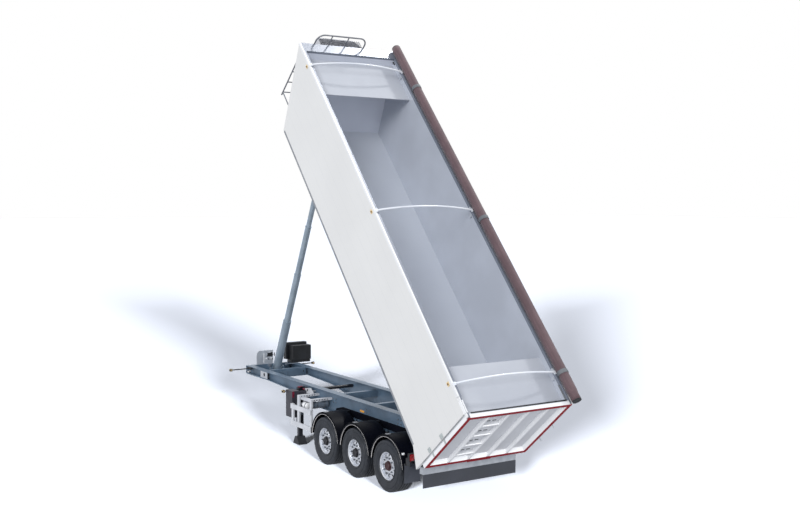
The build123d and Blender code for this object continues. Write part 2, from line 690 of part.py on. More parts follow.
def bed_floor():
    """Floor sheet."""
    low, high = FLOOR_UNDER_W, FLOOR_W
    outline = [(0, low), (front_u(low), low), (front_u(high), high), (0, high)]
    return side_plate(outline, -BED_INNER_Y, BED_INNER_Y)


def bed_front():
    """Raked front wall."""
    low, high = FLOOR_UNDER_W - BEARER_HEIGHT, BED_HEIGHT
    outline = [
        (front_u(low), low), (front_face_u(low), low), (front_face_u(high), high), (front_u(high), high),
    ]
    return side_plate(outline, -BED_INNER_Y, BED_INNER_Y)


def header():
    """Cap across the top of the front wall."""
    inner = BED_OUTER_Y + TOP_RAIL_PAST - TOP_RAIL_WIDTH
    return block(BED_TOP_U - HEADER_LENGTH, BED_TOP_U, -inner, inner, BED_HEIGHT, TOP_W)


def shelves():
    """Decks across the bed just under its top, at the front and the rear."""
    high = SHELF_W + SHELF_WALL
    start = front_u(SHELF_W) - FRONT_SHELF_LENGTH
    front = side_plate([(start, SHELF_W), (front_u(SHELF_W), SHELF_W), (front_u(high), high), (start, high)],
                       -BED_INNER_Y, BED_INNER_Y)
    rear = block(REAR_SHELF_START_U, REAR_SHELF_END_U, -BED_INNER_Y, BED_INNER_Y, SHELF_W, high)
    return [front, rear]


def bed_runner():
    """Box runner under the floor, over a rail."""
    return block(BEARER_REAR_U, BEARER_FRONT_U, RUNNER_INNER_Y, RUNNER_OUTER_Y, RUNNER_W, FLOOR_UNDER_W)


def bed_bearers():
    """Cross bearers under the floor, between and outside the runners and the hinge plates."""
    pitch = (BEARER_FRONT_U - BEARER_LENGTH - BEARER_REAR_U) / (BEARER_COUNT - 1)
    pieces = []
    for i in range(BEARER_COUNT):
        u = BEARER_REAR_U + i * pitch
        at_hinge = u < HINGE_U + HINGE_PLATE_REACH and u + BEARER_LENGTH > HINGE_U - HINGE_PLATE_REACH
        plate = HINGE_PLATE if at_hinge else 0
        inner, outer = RUNNER_INNER_Y - plate, RUNNER_OUTER_Y + plate
        for y0, y1 in ((-BED_INNER_Y, -outer), (-inner, inner), (outer, BED_INNER_Y)):
            pieces.append(block(u, u + BEARER_LENGTH, y0, y1, FLOOR_UNDER_W - BEARER_HEIGHT, FLOOR_UNDER_W))
    return pieces


def hinge_plates():
    """Plates on both sides of each runner that turn on the hinge shaft."""
    pieces = []
    for y0 in (RUNNER_INNER_Y - HINGE_PLATE, RUNNER_OUTER_Y):
        y1 = y0 + HINGE_PLATE
        plate = side_plate([(HINGE_U - HINGE_EYE_RADIUS, HINGE_W), (HINGE_U + HINGE_EYE_RADIUS, HINGE_W),
                            (HINGE_U + HINGE_PLATE_REACH, FLOOR_UNDER_W),
                            (HINGE_U - HINGE_PLATE_REACH, FLOOR_UNDER_W)], y0, y1)
        plate += rod_y(HINGE_U, HINGE_W, HINGE_EYE_RADIUS, y0, y1)
        plate -= rod_y(HINGE_U, HINGE_W, HINGE_SHAFT_RADIUS + SHAFT_GAP, y0 - 1, y1 + 1)
        pieces.extend(both_sides(plate))
    return pieces


def hoop(u):
    """Curved tube across the open top with a pad on each rail."""
    foot = TOP_W + HOOP_PAD - HOOP_SINK
    left, right = HOOP_Y
    arc = ThreePointArc((u, left, foot), (u, (left + right) / 2, foot + HOOP_RISE), (u, right, foot))
    tube = sweep(Plane(origin=arc @ 0, z_dir=arc % 0) * Circle(HOOP_RADIUS), path=arc)
    along, across = HOOP_PAD_HALF
    for y in HOOP_Y:
        tube += block(u - along, u + along, y - across, y + across, TOP_W, TOP_W + HOOP_PAD)
    return tube


def tarp_roll():
    """Rolled cover along the right rail."""
    return rod((ROLL_REAR_U + ROLL_CAP_LENGTH, ROLL_Y, ROLL_W), (BED_TOP_U, ROLL_Y, ROLL_W), ROLL_RADIUS)


def roll_cap():
    """Cap on the rear end of the rolled cover."""
    front = ROLL_REAR_U + ROLL_CAP_LENGTH
    return rod((ROLL_REAR_U, ROLL_Y, ROLL_W), (front, ROLL_Y, ROLL_W), ROLL_CAP_RADIUS)


def catwalk():
    """Grated step across the bed's front top."""
    near, far = BED_TOP_U, BED_TOP_U + CATWALK_LENGTH
    outline = Polyline((near, CATWALK_LEFT_Y), (far, CATWALK_LEFT_Y - CATWALK_CHAMFER),
                       (far, CATWALK_RIGHT_Y + CATWALK_CHAMFER), (near, CATWALK_RIGHT_Y), close=True)
    deck = Pos(0, 0, CATWALK_W) * extrude(make_face(outline), amount=CATWALK_WALL)
    return deck


def railing():
    """Hand rail above the catwalk with two posts."""
    r = RAILING_RADIUS
    u = BED_TOP_U + r + RAILING_INSET
    left, right, top = CATWALK_LEFT_Y - RAILING_SIDE_INSET, CATWALK_RIGHT_Y, RAILING_TOP_W - r
    low = CATWALK_W + CATWALK_WALL
    frame = bent_tube([(u, left, low), (u, left, top), (u, right, top), (u, right, low)], RAILING_CORNER, r)
    for y in RAILING_POSTS_Y:
        frame += rod((u, y, low), (u, y, top), RAILING_POST_RADIUS)
    return frame


def front_ladder():
    """Ladder on the left of the bed's front."""
    solid = None
    half_height, half_wall = LADDER_LUG_HEIGHT / 2, LADDER_LUG_WALL / 2
    for y in LADDER_Y:
        stile = rod((LADDER_U, y, LADDER_BOTTOM_W), (LADDER_U, y, LADDER_TOP_W), LADDER_RADIUS)
        solid = stile if solid is None else solid + stile
        for w in (LADDER_BOTTOM_W + LADDER_LUG_INSET, LADDER_TOP_W - LADDER_LUG_INSET):
            low, high = w - half_height, w + half_height
            solid += side_plate([(front_face_u(low), low), (LADDER_U, low), (LADDER_U, high),
                                 (front_face_u(high), high)], y - half_wall, y + half_wall)
    first, last = LADDER_BOTTOM_W + LADDER_RUNG_INSET, LADDER_TOP_W - LADDER_RUNG_INSET
    for i in range(LADDER_RUNGS):
        w = first + i * (last - first) / (LADDER_RUNGS - 1)
        solid += rod_y(LADDER_U, w, LADDER_RUNG_RADIUS, *LADDER_Y)
    return solid


def ram_ears():
    """Fork on the front wall with a short pin stub in each ear."""
    lean = math.atan(RAKE)
    away = (RAM_EYE_U - front_face_u(RAM_EYE_W)) * math.cos(lean)     # pin to wall, square to it
    foot_w = RAM_EYE_W + away * math.sin(lean)
    along_u, along_w = RAM_EAR_RADIUS * math.sin(lean), RAM_EAR_RADIUS * math.cos(lean)
    low, high = foot_w - along_w, foot_w + 2 * along_w
    pieces = []
    for side in (-1, 1):
        near = RAM_EYE_WIDTH / 2 + RAM_EAR_GAP
        y0, y1 = sorted((side * near, side * (near + RAM_EAR_WALL)))
        ear = side_plate([(front_face_u(low), low), (RAM_EYE_U - along_u, RAM_EYE_W - along_w),
                          (RAM_EYE_U + along_u, RAM_EYE_W + along_w), (front_face_u(high), high)], y0, y1)
        ear += rod_y(RAM_EYE_U, RAM_EYE_W, RAM_EAR_RADIUS, y0, y1)
        tip = side * (RAM_EYE_WIDTH / 2 + RAM_STUB_GAP)
        ear += rod_y(RAM_EYE_U, RAM_EYE_W, RAM_STUB_RADIUS, *sorted((tip, side * near)))
        pieces.append(ear)
    return pieces


def gate_ears():
    """Fixed arms behind the top rails that carry the tailgate's pins."""
    outer = GATE_EAR_OUTER_Y
    inner = outer - GATE_EAR_WALL
    pieces = []
    for side in (-1, 1):
        y0, y1 = sorted((side * inner, side * outer))
        high = GATE_PIN_W + GATE_EAR_RADIUS
        ear = block(0, TOP_RAIL_REAR_U, y0, y1, BED_HEIGHT, high)
        ear += block(GATE_PIN_U, 0, y0, y1, GATE_PIN_W - GATE_EAR_RADIUS, high)
        ear += rod_y(GATE_PIN_U, GATE_PIN_W, GATE_EAR_RADIUS, y0, y1)
        ear -= rod_y(GATE_PIN_U, GATE_PIN_W, GATE_PIN_RADIUS + SHAFT_GAP, y0 - 1, y1 + 1)
        pieces.append(ear)
    return pieces


# ---- tailgate ----
def tailgate():
    """Framed rear door with ribs and steps, hung from two pins in its notched top corners."""
    rear, front = GATE_REAR_U, GATE_REAR_U + GATE_WALL
    bottom, top = GATE_BOTTOM_W, GATE_TOP_W
    solid = block(front - GATE_SHEET, front, -GATE_OUTER_Y, GATE_OUTER_Y, bottom, top)
    solid += block(rear, front, -GATE_OUTER_Y, GATE_OUTER_Y, bottom, bottom + GATE_FRAME)
    solid += block(rear, front, -GATE_OUTER_Y, GATE_OUTER_Y, top - GATE_FRAME, top)
    for side in (-1, 1):
        y0, y1 = sorted((side * (GATE_OUTER_Y - GATE_FRAME), side * GATE_OUTER_Y))
        solid += block(rear, front, y0, y1, bottom, top)
    inner = GATE_OUTER_Y - GATE_FRAME
    pitch = 2 * inner / (GATE_RIBS + 1)
    for i in range(GATE_RIBS):
        y = -inner + (i + 1) * pitch - GATE_RIB_WIDTH / 2
        solid += block(rear + GATE_RIB_INSET, front, y, y + GATE_RIB_WIDTH, bottom, top)
    bay_left = inner - GATE_STEP_BAY * pitch
    for w in GATE_STEPS_W:
        solid += block(rear, front, bay_left - pitch, bay_left, w, w + GATE_STEP_WALL)
    notch = GATE_EAR_OUTER_Y - GATE_EAR_WALL - GATE_SIDE_GAP
    for side in (-1, 1):
        y0, y1 = sorted((side * notch, side * (GATE_OUTER_Y + 1)))
        solid -= block(rear - 1, front + 1, y0, y1, GATE_PIN_W - GATE_EAR_RADIUS - GATE_SIDE_GAP, top + 1)
        y0, y1 = sorted((side * notch, side * (GATE_EAR_OUTER_Y - GATE_PIN_INSET)))
        solid += rod_y(GATE_PIN_U, GATE_PIN_W, GATE_PIN_RADIUS, y0, y1)
    return solid


# ---- ram ----
def along_ram(shape):
    """Place a piece drawn upright on the ram's foot pin."""
    return Location((RAM_FOOT_X, 0, RAM_FOOT_Z), (0, RAM_LEAN, 0)) * shape


def ring(outer, inner, low, high):
    """Upright ring."""
    middle = Pos(0, 0, (low + high) / 2)
    return middle * (Cylinder(outer, high - low) - Cylinder(inner, high - low + 2))


def cup(outer, inner, low, high):
    """Upright tube with a closed foot."""
    return ring(outer, inner, low, high) + Pos(0, 0, low + RAM_FOOT_WALL / 2) * Cylinder(outer, RAM_FOOT_WALL)


def ram_bore(i):
    """Bore of the tube that stage i slides in."""
    if i == 0:
        return RAM_BARREL_RADIUS - RAM_BARREL_WALL
    return RAM_STAGE_RADII[i - 1] - RAM_STAGE_WALL


def ram_barrel():
    """Barrel with its gland and its two trunnions."""
    solid = cup(RAM_BARREL_RADIUS, ram_bore(0), -RAM_BARREL_BELOW, RAM_BARREL_TOP)
    top = RAM_BARREL_TOP
    solid += ring(RAM_BARREL_RADIUS, RAM_STAGE_RADII[0] + SHAFT_GAP, top - RAM_GLAND, top)
    for side in (-1, 1):
        y0, y1 = sorted((side * (RAM_BARREL_RADIUS - TRUNNION_ROOT), side * (CRADLE_Y[1] + TRUNNION_PAST)))
        solid += rod_y(0, 0, RAM_TRUNNION_RADIUS, y0, y1)
    return along_ram(solid)


def ram_stage(i):
    """One sliding stage, drawn where it stands with the ram run out."""
    radius = RAM_STAGE_RADII[i]
    low = -RAM_BARREL_BELOW + RAM_FOOT_WALL + RAM_FOOT_STEP * (i + 1)
    top = RAM_BARREL_TOP + RAM_COLLAR_GAP + i * RAM_COLLAR_PITCH
    high = top + RAM_COLLAR_HEIGHT
    bore = radius - RAM_STAGE_WALL
    solid = cup(radius, bore, low, high)
    solid += ring(ram_bore(i) - SHAFT_GAP, bore, low, low + RAM_GLAND)
    if i + 1 < len(RAM_STAGE_RADII):
        solid += ring(radius + RAM_COLLAR_LIP, RAM_STAGE_RADII[i + 1] + SHAFT_GAP, top, high)
    else:
        half = RAM_EYE_WIDTH / 2
        solid += Pos(0, 0, top + RAM_COLLAR_HEIGHT / 2) * Cylinder(radius, RAM_COLLAR_HEIGHT)
        neck = RAM_EYE_NECK / 2
        solid += block(-neck, neck, -half, half, high - 1, RAM_SHORT)
        solid += rod_y(0, RAM_SHORT, RAM_EYE_RADIUS, -half, half)
        solid -= rod_y(0, RAM_SHORT, RAM_EYE_BORE, -half - 1, half + 1)
    return along_ram(Pos(0, 0, (i + 1) * RAM_STROKE) * solid)


# ---- wheels ----
def tyre(x, side):
    """Plain tyre with a rounded section."""
    half = TYRE_WIDTH / 2
    section = [(RIM_SEAT_RADIUS + out, half - inset) for out, inset in TYRE_BEAD_SECTION]
    section += [(TYRE_RADIUS + out, half - inset) for out, inset in TYRE_TREAD_SECTION]
    outline = Polyline(*section, *[(radius, -z) for radius, z in reversed(section)], close=True)
    solid = revolve(Plane.XZ * make_face(outline), Axis.Z)
    return Pos(x, side * (TYRE_OUTER_Y - half), TYRE_RADIUS) * Rot(-90 * side, 0, 0) * solid


def rim(x, side):
    """Rim, dished disc with hand holes, and hub with its bore."""
    half = TYRE_WIDTH / 2
    seat = RIM_SEAT_RADIUS - SHAFT_GAP
    face = half - DISC_INSET
    barrel = Cylinder(seat, 2 * (half - RIM_END_INSET))
    for end in (-1, 1):
        barrel += Pos(0, 0, end * (half - RIM_LIP_INSET)) * Cylinder(RIM_LIP_RADIUS, RIM_LIP_WALL)
    barrel -= Cylinder(seat - RIM_WALL, 2 * half)
    disc = Pos(0, 0, face - DISC_WALL / 2) * Cylinder(seat - RIM_WALL / 2, DISC_WALL)
    for i in range(HAND_HOLES):
        turn = Rot(0, 0, 360 * i / HAND_HOLES)
        disc -= turn * Pos(HAND_HOLE_CIRCLE, 0, face) * Cylinder(HAND_HOLE_RADIUS, 4 * DISC_WALL)
    hub = Pos(0, 0, face - HUB_LENGTH / 2) * Cylinder(HUB_RADIUS, HUB_LENGTH)
    hub += Pos(0, 0, face + HUB_CAP_REACH / 2) * Cylinder(HUB_CAP_RADIUS, HUB_CAP_REACH)
    solid = barrel + disc + hub
    solid -= Pos(0, 0, face - HUB_BORE_DEPTH / 2) * Cylinder(SPINDLE_RADIUS + SHAFT_GAP, HUB_BORE_DEPTH)
    return Pos(x, side * (TYRE_OUTER_Y - half), TYRE_RADIUS) * Rot(-90 * side, 0, 0) * solid


def twins(pieces):
    """Each piece and its twin on the other side."""
    return [twin for piece in pieces for twin in both_sides(piece)]


def build_chassis():
    """Write everything that stays with the chassis."""
    save("chassis_rails", *both_sides(rail()))
    save("cross_members", *cross_members())
    save("skid_plate", skid_plate())
    save("kingpin", kingpin())
    save("landing_legs", *twins(landing_leg()), landing_shaft())
    save("landing_feet", *twins(landing_foot()))
    for name, maker in (("suspension_arms", suspension_arm), ("suspension_hangers", suspension_hanger),
                        ("air_springs", air_spring), ("fenders", fender)):
        save(name, *twins([maker(x) for x in AXLE_XS]))
    save("fender_stays", *twins([fender_tube(x) for x in AXLE_XS] + mudflap_bars()))
    save("axle_beams", *[axle_beam(x) for x in AXLE_XS])
    save("side_guards", *twins(side_guard()))
    save("extinguisher_box", *extinguisher_box())
    save("rear_bumper", rear_bumper())
    save("bumper_plate", bumper_plate())
    save("mudflaps", *both_sides(mudflap()))
    save("rear_lamps", *both_sides(rear_lamp()))
    save("valve_panels", air_panel(), valve_plate())
    save("equipment_box", *equipment_box())
    save("stalk_lamps", *[piece for lamp in STALK_LAMPS for piece in stalk_lamp(*lamp)])
    save("ram_cradle", *ram_cradle())
    save("hinge_shaft", hinge_shaft())


def build_bed():
    """Write the bed and the tailgate, raised."""
    side = bed_side()
    nodes = {
        "bed_side_left": [side],
        "bed_side_right": [other_side(side)],
        "top_rails": [*both_sides(top_rail()), *gate_ears(), header()],
        "bed_floor": [bed_floor()],
        "bed_front": [bed_front()],
        "bed_shelves": shelves(),
        "bed_runners": both_sides(bed_runner()),
        "bed_bearers": bed_bearers(),
        "hinge_plates": hinge_plates(),
        "tarp_hoops": [hoop(u) for u in HOOP_US],
        "tarp_roll": [tarp_roll(), roll_cap()],
        "catwalk": [catwalk() + railing()],
        "front_ladder": [front_ladder()],
        "ram_ears": ram_ears(),
        "tailgate": [tailgate()],
    }
    for name, pieces in nodes.items():
        save(name, *[raised(piece) for piece in pieces])


def build_ram():
    """Write the telescopic ram, run out."""
    save("ram_barrel", ram_barrel())
    for i in range(len(RAM_STAGE_RADII)):
        save(f"ram_stage_{i + 1}", ram_stage(i))


def build_wheels():
    """Write the six wheels."""
    for i, x in enumerate(AXLE_XS):
        for name, side in (("left", 1), ("right", -1)):
            save(f"tyre_{name}_{i + 1}", tyre(x, side))
            save(f"rim_{name}_{i + 1}", rim(x, side))


os.makedirs("parts", exist_ok=True)
build_chassis()
build_bed()
build_ram()
build_wheels()
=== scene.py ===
"""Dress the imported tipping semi-trailer: finishes, fittings, floor, light and camera.

Lengths are in metres in the part's own frame: X forwards, Y to the left, Z up from the road.
Bed pieces are worked out in the bed's own frame (u along the floor, y across, w square to the
floor) and then turned up about the tipping hinge.
"""
import json
import logging
import math
from dataclasses import dataclass, field
from enum import Enum
from typing import Callable, Sequence

import bpy
import numpy as np
from mathutils import Matrix, Vector


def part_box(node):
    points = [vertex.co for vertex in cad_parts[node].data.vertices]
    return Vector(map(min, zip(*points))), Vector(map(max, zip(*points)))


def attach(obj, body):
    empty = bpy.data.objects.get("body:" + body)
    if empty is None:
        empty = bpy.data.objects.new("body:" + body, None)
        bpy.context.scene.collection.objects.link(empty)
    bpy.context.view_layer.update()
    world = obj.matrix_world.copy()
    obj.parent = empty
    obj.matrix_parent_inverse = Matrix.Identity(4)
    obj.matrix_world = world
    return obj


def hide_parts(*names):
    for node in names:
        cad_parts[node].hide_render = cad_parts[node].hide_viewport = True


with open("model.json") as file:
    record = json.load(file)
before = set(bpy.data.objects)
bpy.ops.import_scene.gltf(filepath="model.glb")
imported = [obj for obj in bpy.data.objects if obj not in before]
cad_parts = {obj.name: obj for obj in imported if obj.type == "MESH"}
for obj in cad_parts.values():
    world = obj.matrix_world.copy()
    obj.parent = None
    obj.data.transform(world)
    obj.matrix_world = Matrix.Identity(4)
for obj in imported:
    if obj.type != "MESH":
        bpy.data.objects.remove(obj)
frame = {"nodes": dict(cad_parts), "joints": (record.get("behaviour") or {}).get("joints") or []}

LOG = logging.getLogger("tipping_trailer")
Array = np.ndarray
Triple = tuple[float, float, float]
Block = tuple[Triple, Triple]
ORIGIN: Triple = (0, 0, 0)
FORWARD: Triple = (1, 0, 0)
BACKWARD: Triple = (-1, 0, 0)
ACROSS: Triple = (0, 1, 0)
UP: Triple = (0, 0, 1)
REAR_AXLE_X = -2.618
WHEELS = tuple((side, place) for side in ("left", "right") for place in (1, 2, 3))


# ---------------------------------------------------------------- surfaces
@dataclass
class Shell:
    """Points and faces of one or more closed surfaces.

    Args:
        points: Vertex places, one row each.
        quads: Four vertex numbers a face, one row each.
        caps: End faces with any number of corners.
    """

    points: Array
    quads: Array
    caps: list[Array] = field(default_factory=list)

    def __add__(self, other: "Shell") -> "Shell":
        """Put two shells into one."""
        shift = len(self.points)
        return Shell(
            np.vstack([self.points, other.points]),
            np.vstack([self.quads, other.quads + shift]),
            self.caps + [cap + shift for cap in other.caps],
        )

    def copied(self, offsets: Sequence[Triple]) -> "Shell":
        """Repeat the shell at each offset.

        Args:
            offsets: Moves from the shell's own place.

        Returns:
            One shell that holds every copy.
        """
        moves = np.atleast_2d(np.asarray(offsets, float))
        count, size = len(moves), len(self.points)
        points = (self.points[None] + moves[:, None]).reshape(-1, 3)
        shifts = np.arange(count) * size
        quads = (self.quads[None] + shifts[:, None, None]).reshape(-1, 4)
        caps = [cap + shift for shift in shifts for cap in self.caps]
        return Shell(points, quads, caps)

    def mapped(self, rule: Callable[[Array], Array]) -> "Shell":
        """Send every point through a rule that keeps the faces' sense."""
        return Shell(rule(self.points), self.quads, self.caps)

    def flipped(self, axis: int) -> "Shell":
        """Mirror in the plane square to one axis, with faces turned to point outwards again."""
        points = self.points.copy()
        points[:, axis] *= -1
        return Shell(points, self.quads[:, ::-1], [cap[::-1] for cap in self.caps])


def mirrored(shell: Shell) -> Shell:
    """A shell on the left side and its mirror image on the right."""
    return shell + shell.flipped(1)


def strap(inner: float, wall: float, half: float) -> Array:
    """Section of a flat ring, for turning.

    Args:
        inner: Inner radius.
        wall: Thickness, outwards from there.
        half: Half of its width.

    Returns:
        Its four corners, one (radius, place along the axis) a row.
    """
    outer = inner + wall
    return np.array([[inner, -half], [outer, -half], [outer, half], [inner, half]])


def joined(shells: Sequence[Shell]) -> Shell:
    """Put several shells into one."""
    total = shells[0]
    for shell in shells[1:]:
        total = total + shell
    return total


def lattice(rows: int, cols: int, wrap_rows: bool, wrap_cols: bool) -> Array:
    """Number the faces of a grid of points.

    Args:
        rows: Points along the first parameter.
        cols: Points along the second parameter.
        wrap_rows: True if the last row joins the first.
        wrap_cols: True if the last column joins the first.

    Returns:
        Four vertex numbers a face, anticlockwise when rows run up and columns run left.
    """
    number = np.arange(rows * cols).reshape(rows, cols)
    if wrap_rows:
        number = np.vstack([number, number[:1]])
    if wrap_cols:
        number = np.hstack([number, number[:, :1]])
    corners = (number[:-1, :-1], number[:-1, 1:], number[1:, 1:], number[1:, :-1])
    return np.stack(corners, axis=-1).reshape(-1, 4)


def circle(radius: float, sides: int = 16) -> Array:
    """Closed ring of points: radius times the cosine and sine of an even angle."""
    angle = np.linspace(0, 2 * np.pi, sides, endpoint=False)
    return radius * np.column_stack([np.cos(angle), np.sin(angle)])


def rounded(width: float, height: float, radius: float, steps: int = 3) -> Array:
    """Closed rectangle with quarter-circle corners.

    Args:
        width: Size along the first coordinate.
        height: Size along the second coordinate.
        radius: Corner radius.
        steps: Points a corner.

    Returns:
        Corner centres plus the radius times the cosine and sine of each corner's angles.
    """
    turn = np.linspace(0, np.pi / 2, steps)
    angle = (np.arange(4)[:, None] * np.pi / 2 + turn[None]).ravel()
    sign_x = np.repeat([1, -1, -1, 1], steps)
    sign_y = np.repeat([1, 1, -1, -1], steps)
    x = sign_x * (width / 2 - radius) + radius * np.cos(angle)
    y = sign_y * (height / 2 - radius) + radius * np.sin(angle)
    return np.column_stack([x, y])


def sweep(profile: Array, path: Array, side: Triple, closed: bool = False) -> Shell:
    """Carry a closed profile along a path.

    Each path point P has a tangent T, the part S of the side direction that is square to T,
    and N = T x S. A profile point (a, b) becomes P + a S + b N.

    Args:
        profile: Anticlockwise outline, one (a, b) a row.
        path: Points that the profile follows.
        side: Direction that the first profile coordinate points along.
        closed: True if the path's end joins its start.

    Returns:
        A shell with flat end caps, or a ring.
    """
    path = np.asarray(path, float)
    if closed:
        tangent = np.roll(path, -1, axis=0) - np.roll(path, 1, axis=0)
    else:
        tangent = np.gradient(path, axis=0)
    tangent /= np.linalg.norm(tangent, axis=1, keepdims=True)
    across = np.asarray(side, float) - (tangent @ np.asarray(side, float))[:, None] * tangent
    across /= np.linalg.norm(across, axis=1, keepdims=True)
    normal = np.cross(tangent, across)
    points = (
        path[:, None] + profile[None, :, :1] * across[:, None] + profile[None, :, 1:] * normal[:, None]
    )
    rows, cols = points.shape[:2]
    quads = lattice(rows, cols, closed, True)
    caps = [] if closed else [np.arange(cols)[::-1], np.arange(cols) + (rows - 1) * cols]
    return Shell(points.reshape(-1, 3), quads, caps)


def revolve(profile: Array, centre: Triple, axis: Triple, start: Triple, segments: int) -> Shell:
    """Turn a closed profile about an axis.

    A profile point (r, a) becomes C + a A + r (cos t E + sin t (A x E)), with t even round the turn.

    Args:
        profile: Anticlockwise outline, one (radius, place along the axis) a row.
        centre: Point C on the axis.
        axis: Direction A.
        start: Direction E, square to the axis.
        segments: Steps round the turn.

    Returns:
        A ring-shaped shell.
    """
    a, e = np.asarray(axis, float), np.asarray(start, float)
    angle = np.linspace(0, 2 * np.pi, segments, endpoint=False)
    out = np.cos(angle)[:, None] * e + np.sin(angle)[:, None] * np.cross(a, e)
    points = np.asarray(centre, float) + profile[None, :, :1] * out[:, None] + profile[None, :, 1:] * a
    quads = lattice(segments, len(profile), True, True)[:, ::-1]
    return Shell(points.reshape(-1, 3), quads)


def rods(starts: Sequence[Triple], ends: Sequence[Triple], profile: Array, side: Triple) -> Shell:
    """Straight bars of one profile: each end point plus a S + b N, as in sweep."""
    pairs = zip(np.atleast_2d(starts), np.atleast_2d(ends))
    return joined([sweep(profile, np.stack(pair), side) for pair in pairs])


def boxes(corners: Sequence[Block], edge: float = 0.003) -> Shell:
    """Boxes with chamfered edges.

    Four rectangles with cut corners stand along X: the two ends are drawn in by the chamfer and
    the two between them are full size.

    Args:
        corners: Lowest and highest corner of each box.
        edge: Chamfer width, at most 0.45 of half the box's thinnest side.

    Returns:
        One shell that holds every box.
    """
    ends = np.asarray(corners, float)
    low, high = ends[:, 0], ends[:, 1]
    middle, half = (low + high) / 2, (high - low) / 2
    edges = np.minimum(edge, 0.45 * half.min(axis=1))
    sign = np.array([[1, 1], [-1, 1], [-1, -1], [1, -1]], float)
    inset = np.array([[[1, 0], [0, 1]], [[0, 1], [1, 0]], [[1, 0], [0, 1]], [[0, 1], [1, 0]]], float)
    cut = edges[:, None, None, None] * sign[None, :, None] * inset[None]
    corner = half[:, None, None, 1:] * sign[None, :, None] - cut
    ring = corner.reshape(len(low), 8, 2)
    drawn = ring - edges[:, None, None] * np.repeat(sign, 2, axis=0)[None]
    rings = np.stack([drawn, ring, ring, drawn], axis=1)
    along = np.stack([-half[:, 0], edges - half[:, 0], half[:, 0] - edges, half[:, 0]], axis=1)
    x = np.broadcast_to(along[:, :, None, None], (*rings.shape[:3], 1))
    points = middle[:, None, None] + np.concatenate([x, rings], axis=-1)
    shells = lattice(4, 8, False, True)
    shifts = np.arange(len(low)) * 32
    quads = (shells[None] + shifts[:, None, None]).reshape(-1, 4)
    caps = [cap + shift for shift in shifts for cap in (np.arange(8)[::-1], np.arange(8) + 24)]
    return Shell(points.reshape(-1, 3), quads, caps)


def slab(outline: Sequence[tuple[float, float]], low: float, high: float) -> Shell:
    """Flat plate square to Y.

    Args:
        outline: Corners, one (x, z) a row, from X towards Z.
        low: Y of its first face.
        high: Y of its second face.

    Returns:
        The outline at both faces, joined by a band.
    """
    corners = np.asarray(outline, float)
    count = len(corners)
    rings = [np.column_stack([corners[:, 0], np.full(count, y), corners[:, 1]]) for y in (low, high)]
    quads = lattice(2, count, False, True)[:, ::-1]
    return Shell(np.vstack(rings), quads, [np.arange(count), np.arange(count)[::-1] + count])


def discs(
    places: Sequence[Triple], axis: Triple, side: Triple, radius: float, height: float = 0.0015
) -> Shell:
    """Thin round plates with a chamfered edge, for eyes and drilled holes.

    Args:
        places: Middles of the plates' seats.
        axis: Direction away from the seat.
        side: Direction square to the axis.
        radius: Plate radius.
        height: Plate thickness.

    Returns:
        One shell that holds every plate.
    """
    section = np.array([[radius, -height], [radius, height / 2], [radius * 0.94, height]])
    return lathe(section, ORIGIN, axis, side, 20).copied(places)


def nuts(places: Sequence[Triple], axis: Triple, side: Triple, width: float, height: float) -> Shell:
    """Hexagon nuts with chamfered tops.

    Args:
        places: Middles of the nuts' seats.
        axis: Direction away from the seat.
        side: Direction of one corner.
        width: Across the flats.
        height: From seat to top.

    Returns:
        One shell: three six-sided rings a nut, the last drawn in by a tenth.
    """
    a, e = np.asarray(axis, float), np.asarray(side, float)
    angle = np.arange(6) * np.pi / 3
    out = np.cos(angle)[:, None] * e + np.sin(angle)[:, None] * np.cross(a, e)
    radius = width / math.sqrt(3)
    rings = [out * radius * scale + a * height * level for scale, level in ((1, 0), (1, 0.8), (0.86, 1))]
    one = Shell(np.vstack(rings), lattice(3, 6, False, True), [np.arange(6)[::-1], np.arange(6) + 12])
    return one.copied(places)


# ---------------------------------------------------------------- shader groups
class Pattern(Enum):
    """Named patterns that a finish can lay over its colour."""

    PLAIN = "plain"
    PLANKS = "planks"
    WEAVE = "weave"
    RIBS = "ribs"


def srgb(red: float, green: float, blue: float) -> tuple[float, float, float, float]:
    """Turn display values from 0 to 255 into linear colour."""
    value = np.array([red, green, blue]) / 255
    linear = np.where(value <= 0.04045, value / 12.92, ((value + 0.055) / 1.055) ** 2.4)
    return (*[float(v) for v in linear], 1.0)


class Group:
    """A shader node group with named sockets, made once."""

    def __init__(self, name: str, inputs: dict[str, float | tuple], outputs: dict[str, str]) -> None:
        """Start the group and its sockets.

        Args:
            name: Group name.
            inputs: Socket names with their values at rest.
            outputs: Socket names with their kinds.
        """
        self.tree = bpy.data.node_groups.new(name, "ShaderNodeTree")
        for label, value in inputs.items():
            kind = "NodeSocketFloat" if isinstance(value, (int, float)) else "NodeSocketVector"
            if isinstance(value, tuple) and len(value) == 4:
                kind = "NodeSocketColor"
            socket = self.tree.interface.new_socket(label, in_out="INPUT", socket_type=kind)
            socket.default_value = value
        for label, kind in outputs.items():
            self.tree.interface.new_socket(label, in_out="OUTPUT", socket_type=kind)
        self.source = self.tree.nodes.new("NodeGroupInput")
        self.sink = self.tree.nodes.new("NodeGroupOutput")

    def node(self, kind: str, **values: object) -> bpy.types.Node:
        """Add a node and set its properties."""
        made = self.tree.nodes.new(kind)
        for label, value in values.items():
            setattr(made, label, value)
        return made

    def link(self, source: bpy.types.NodeSocket, target: bpy.types.NodeSocket) -> None:
        """Join two sockets."""
        self.tree.links.new(source, target)


def maths(group: Group, operation: str, first: object, second: object) -> bpy.types.NodeSocket:
    """Add one arithmetic node; each operand is a socket or a number."""
    made = group.node("ShaderNodeMath", operation=operation)
    for place, value in enumerate((first, second)):
        if isinstance(value, (int, float)):
            made.inputs[place].default_value = value
        else:
            group.link(value, made.inputs[place])
    return made.outputs[0]


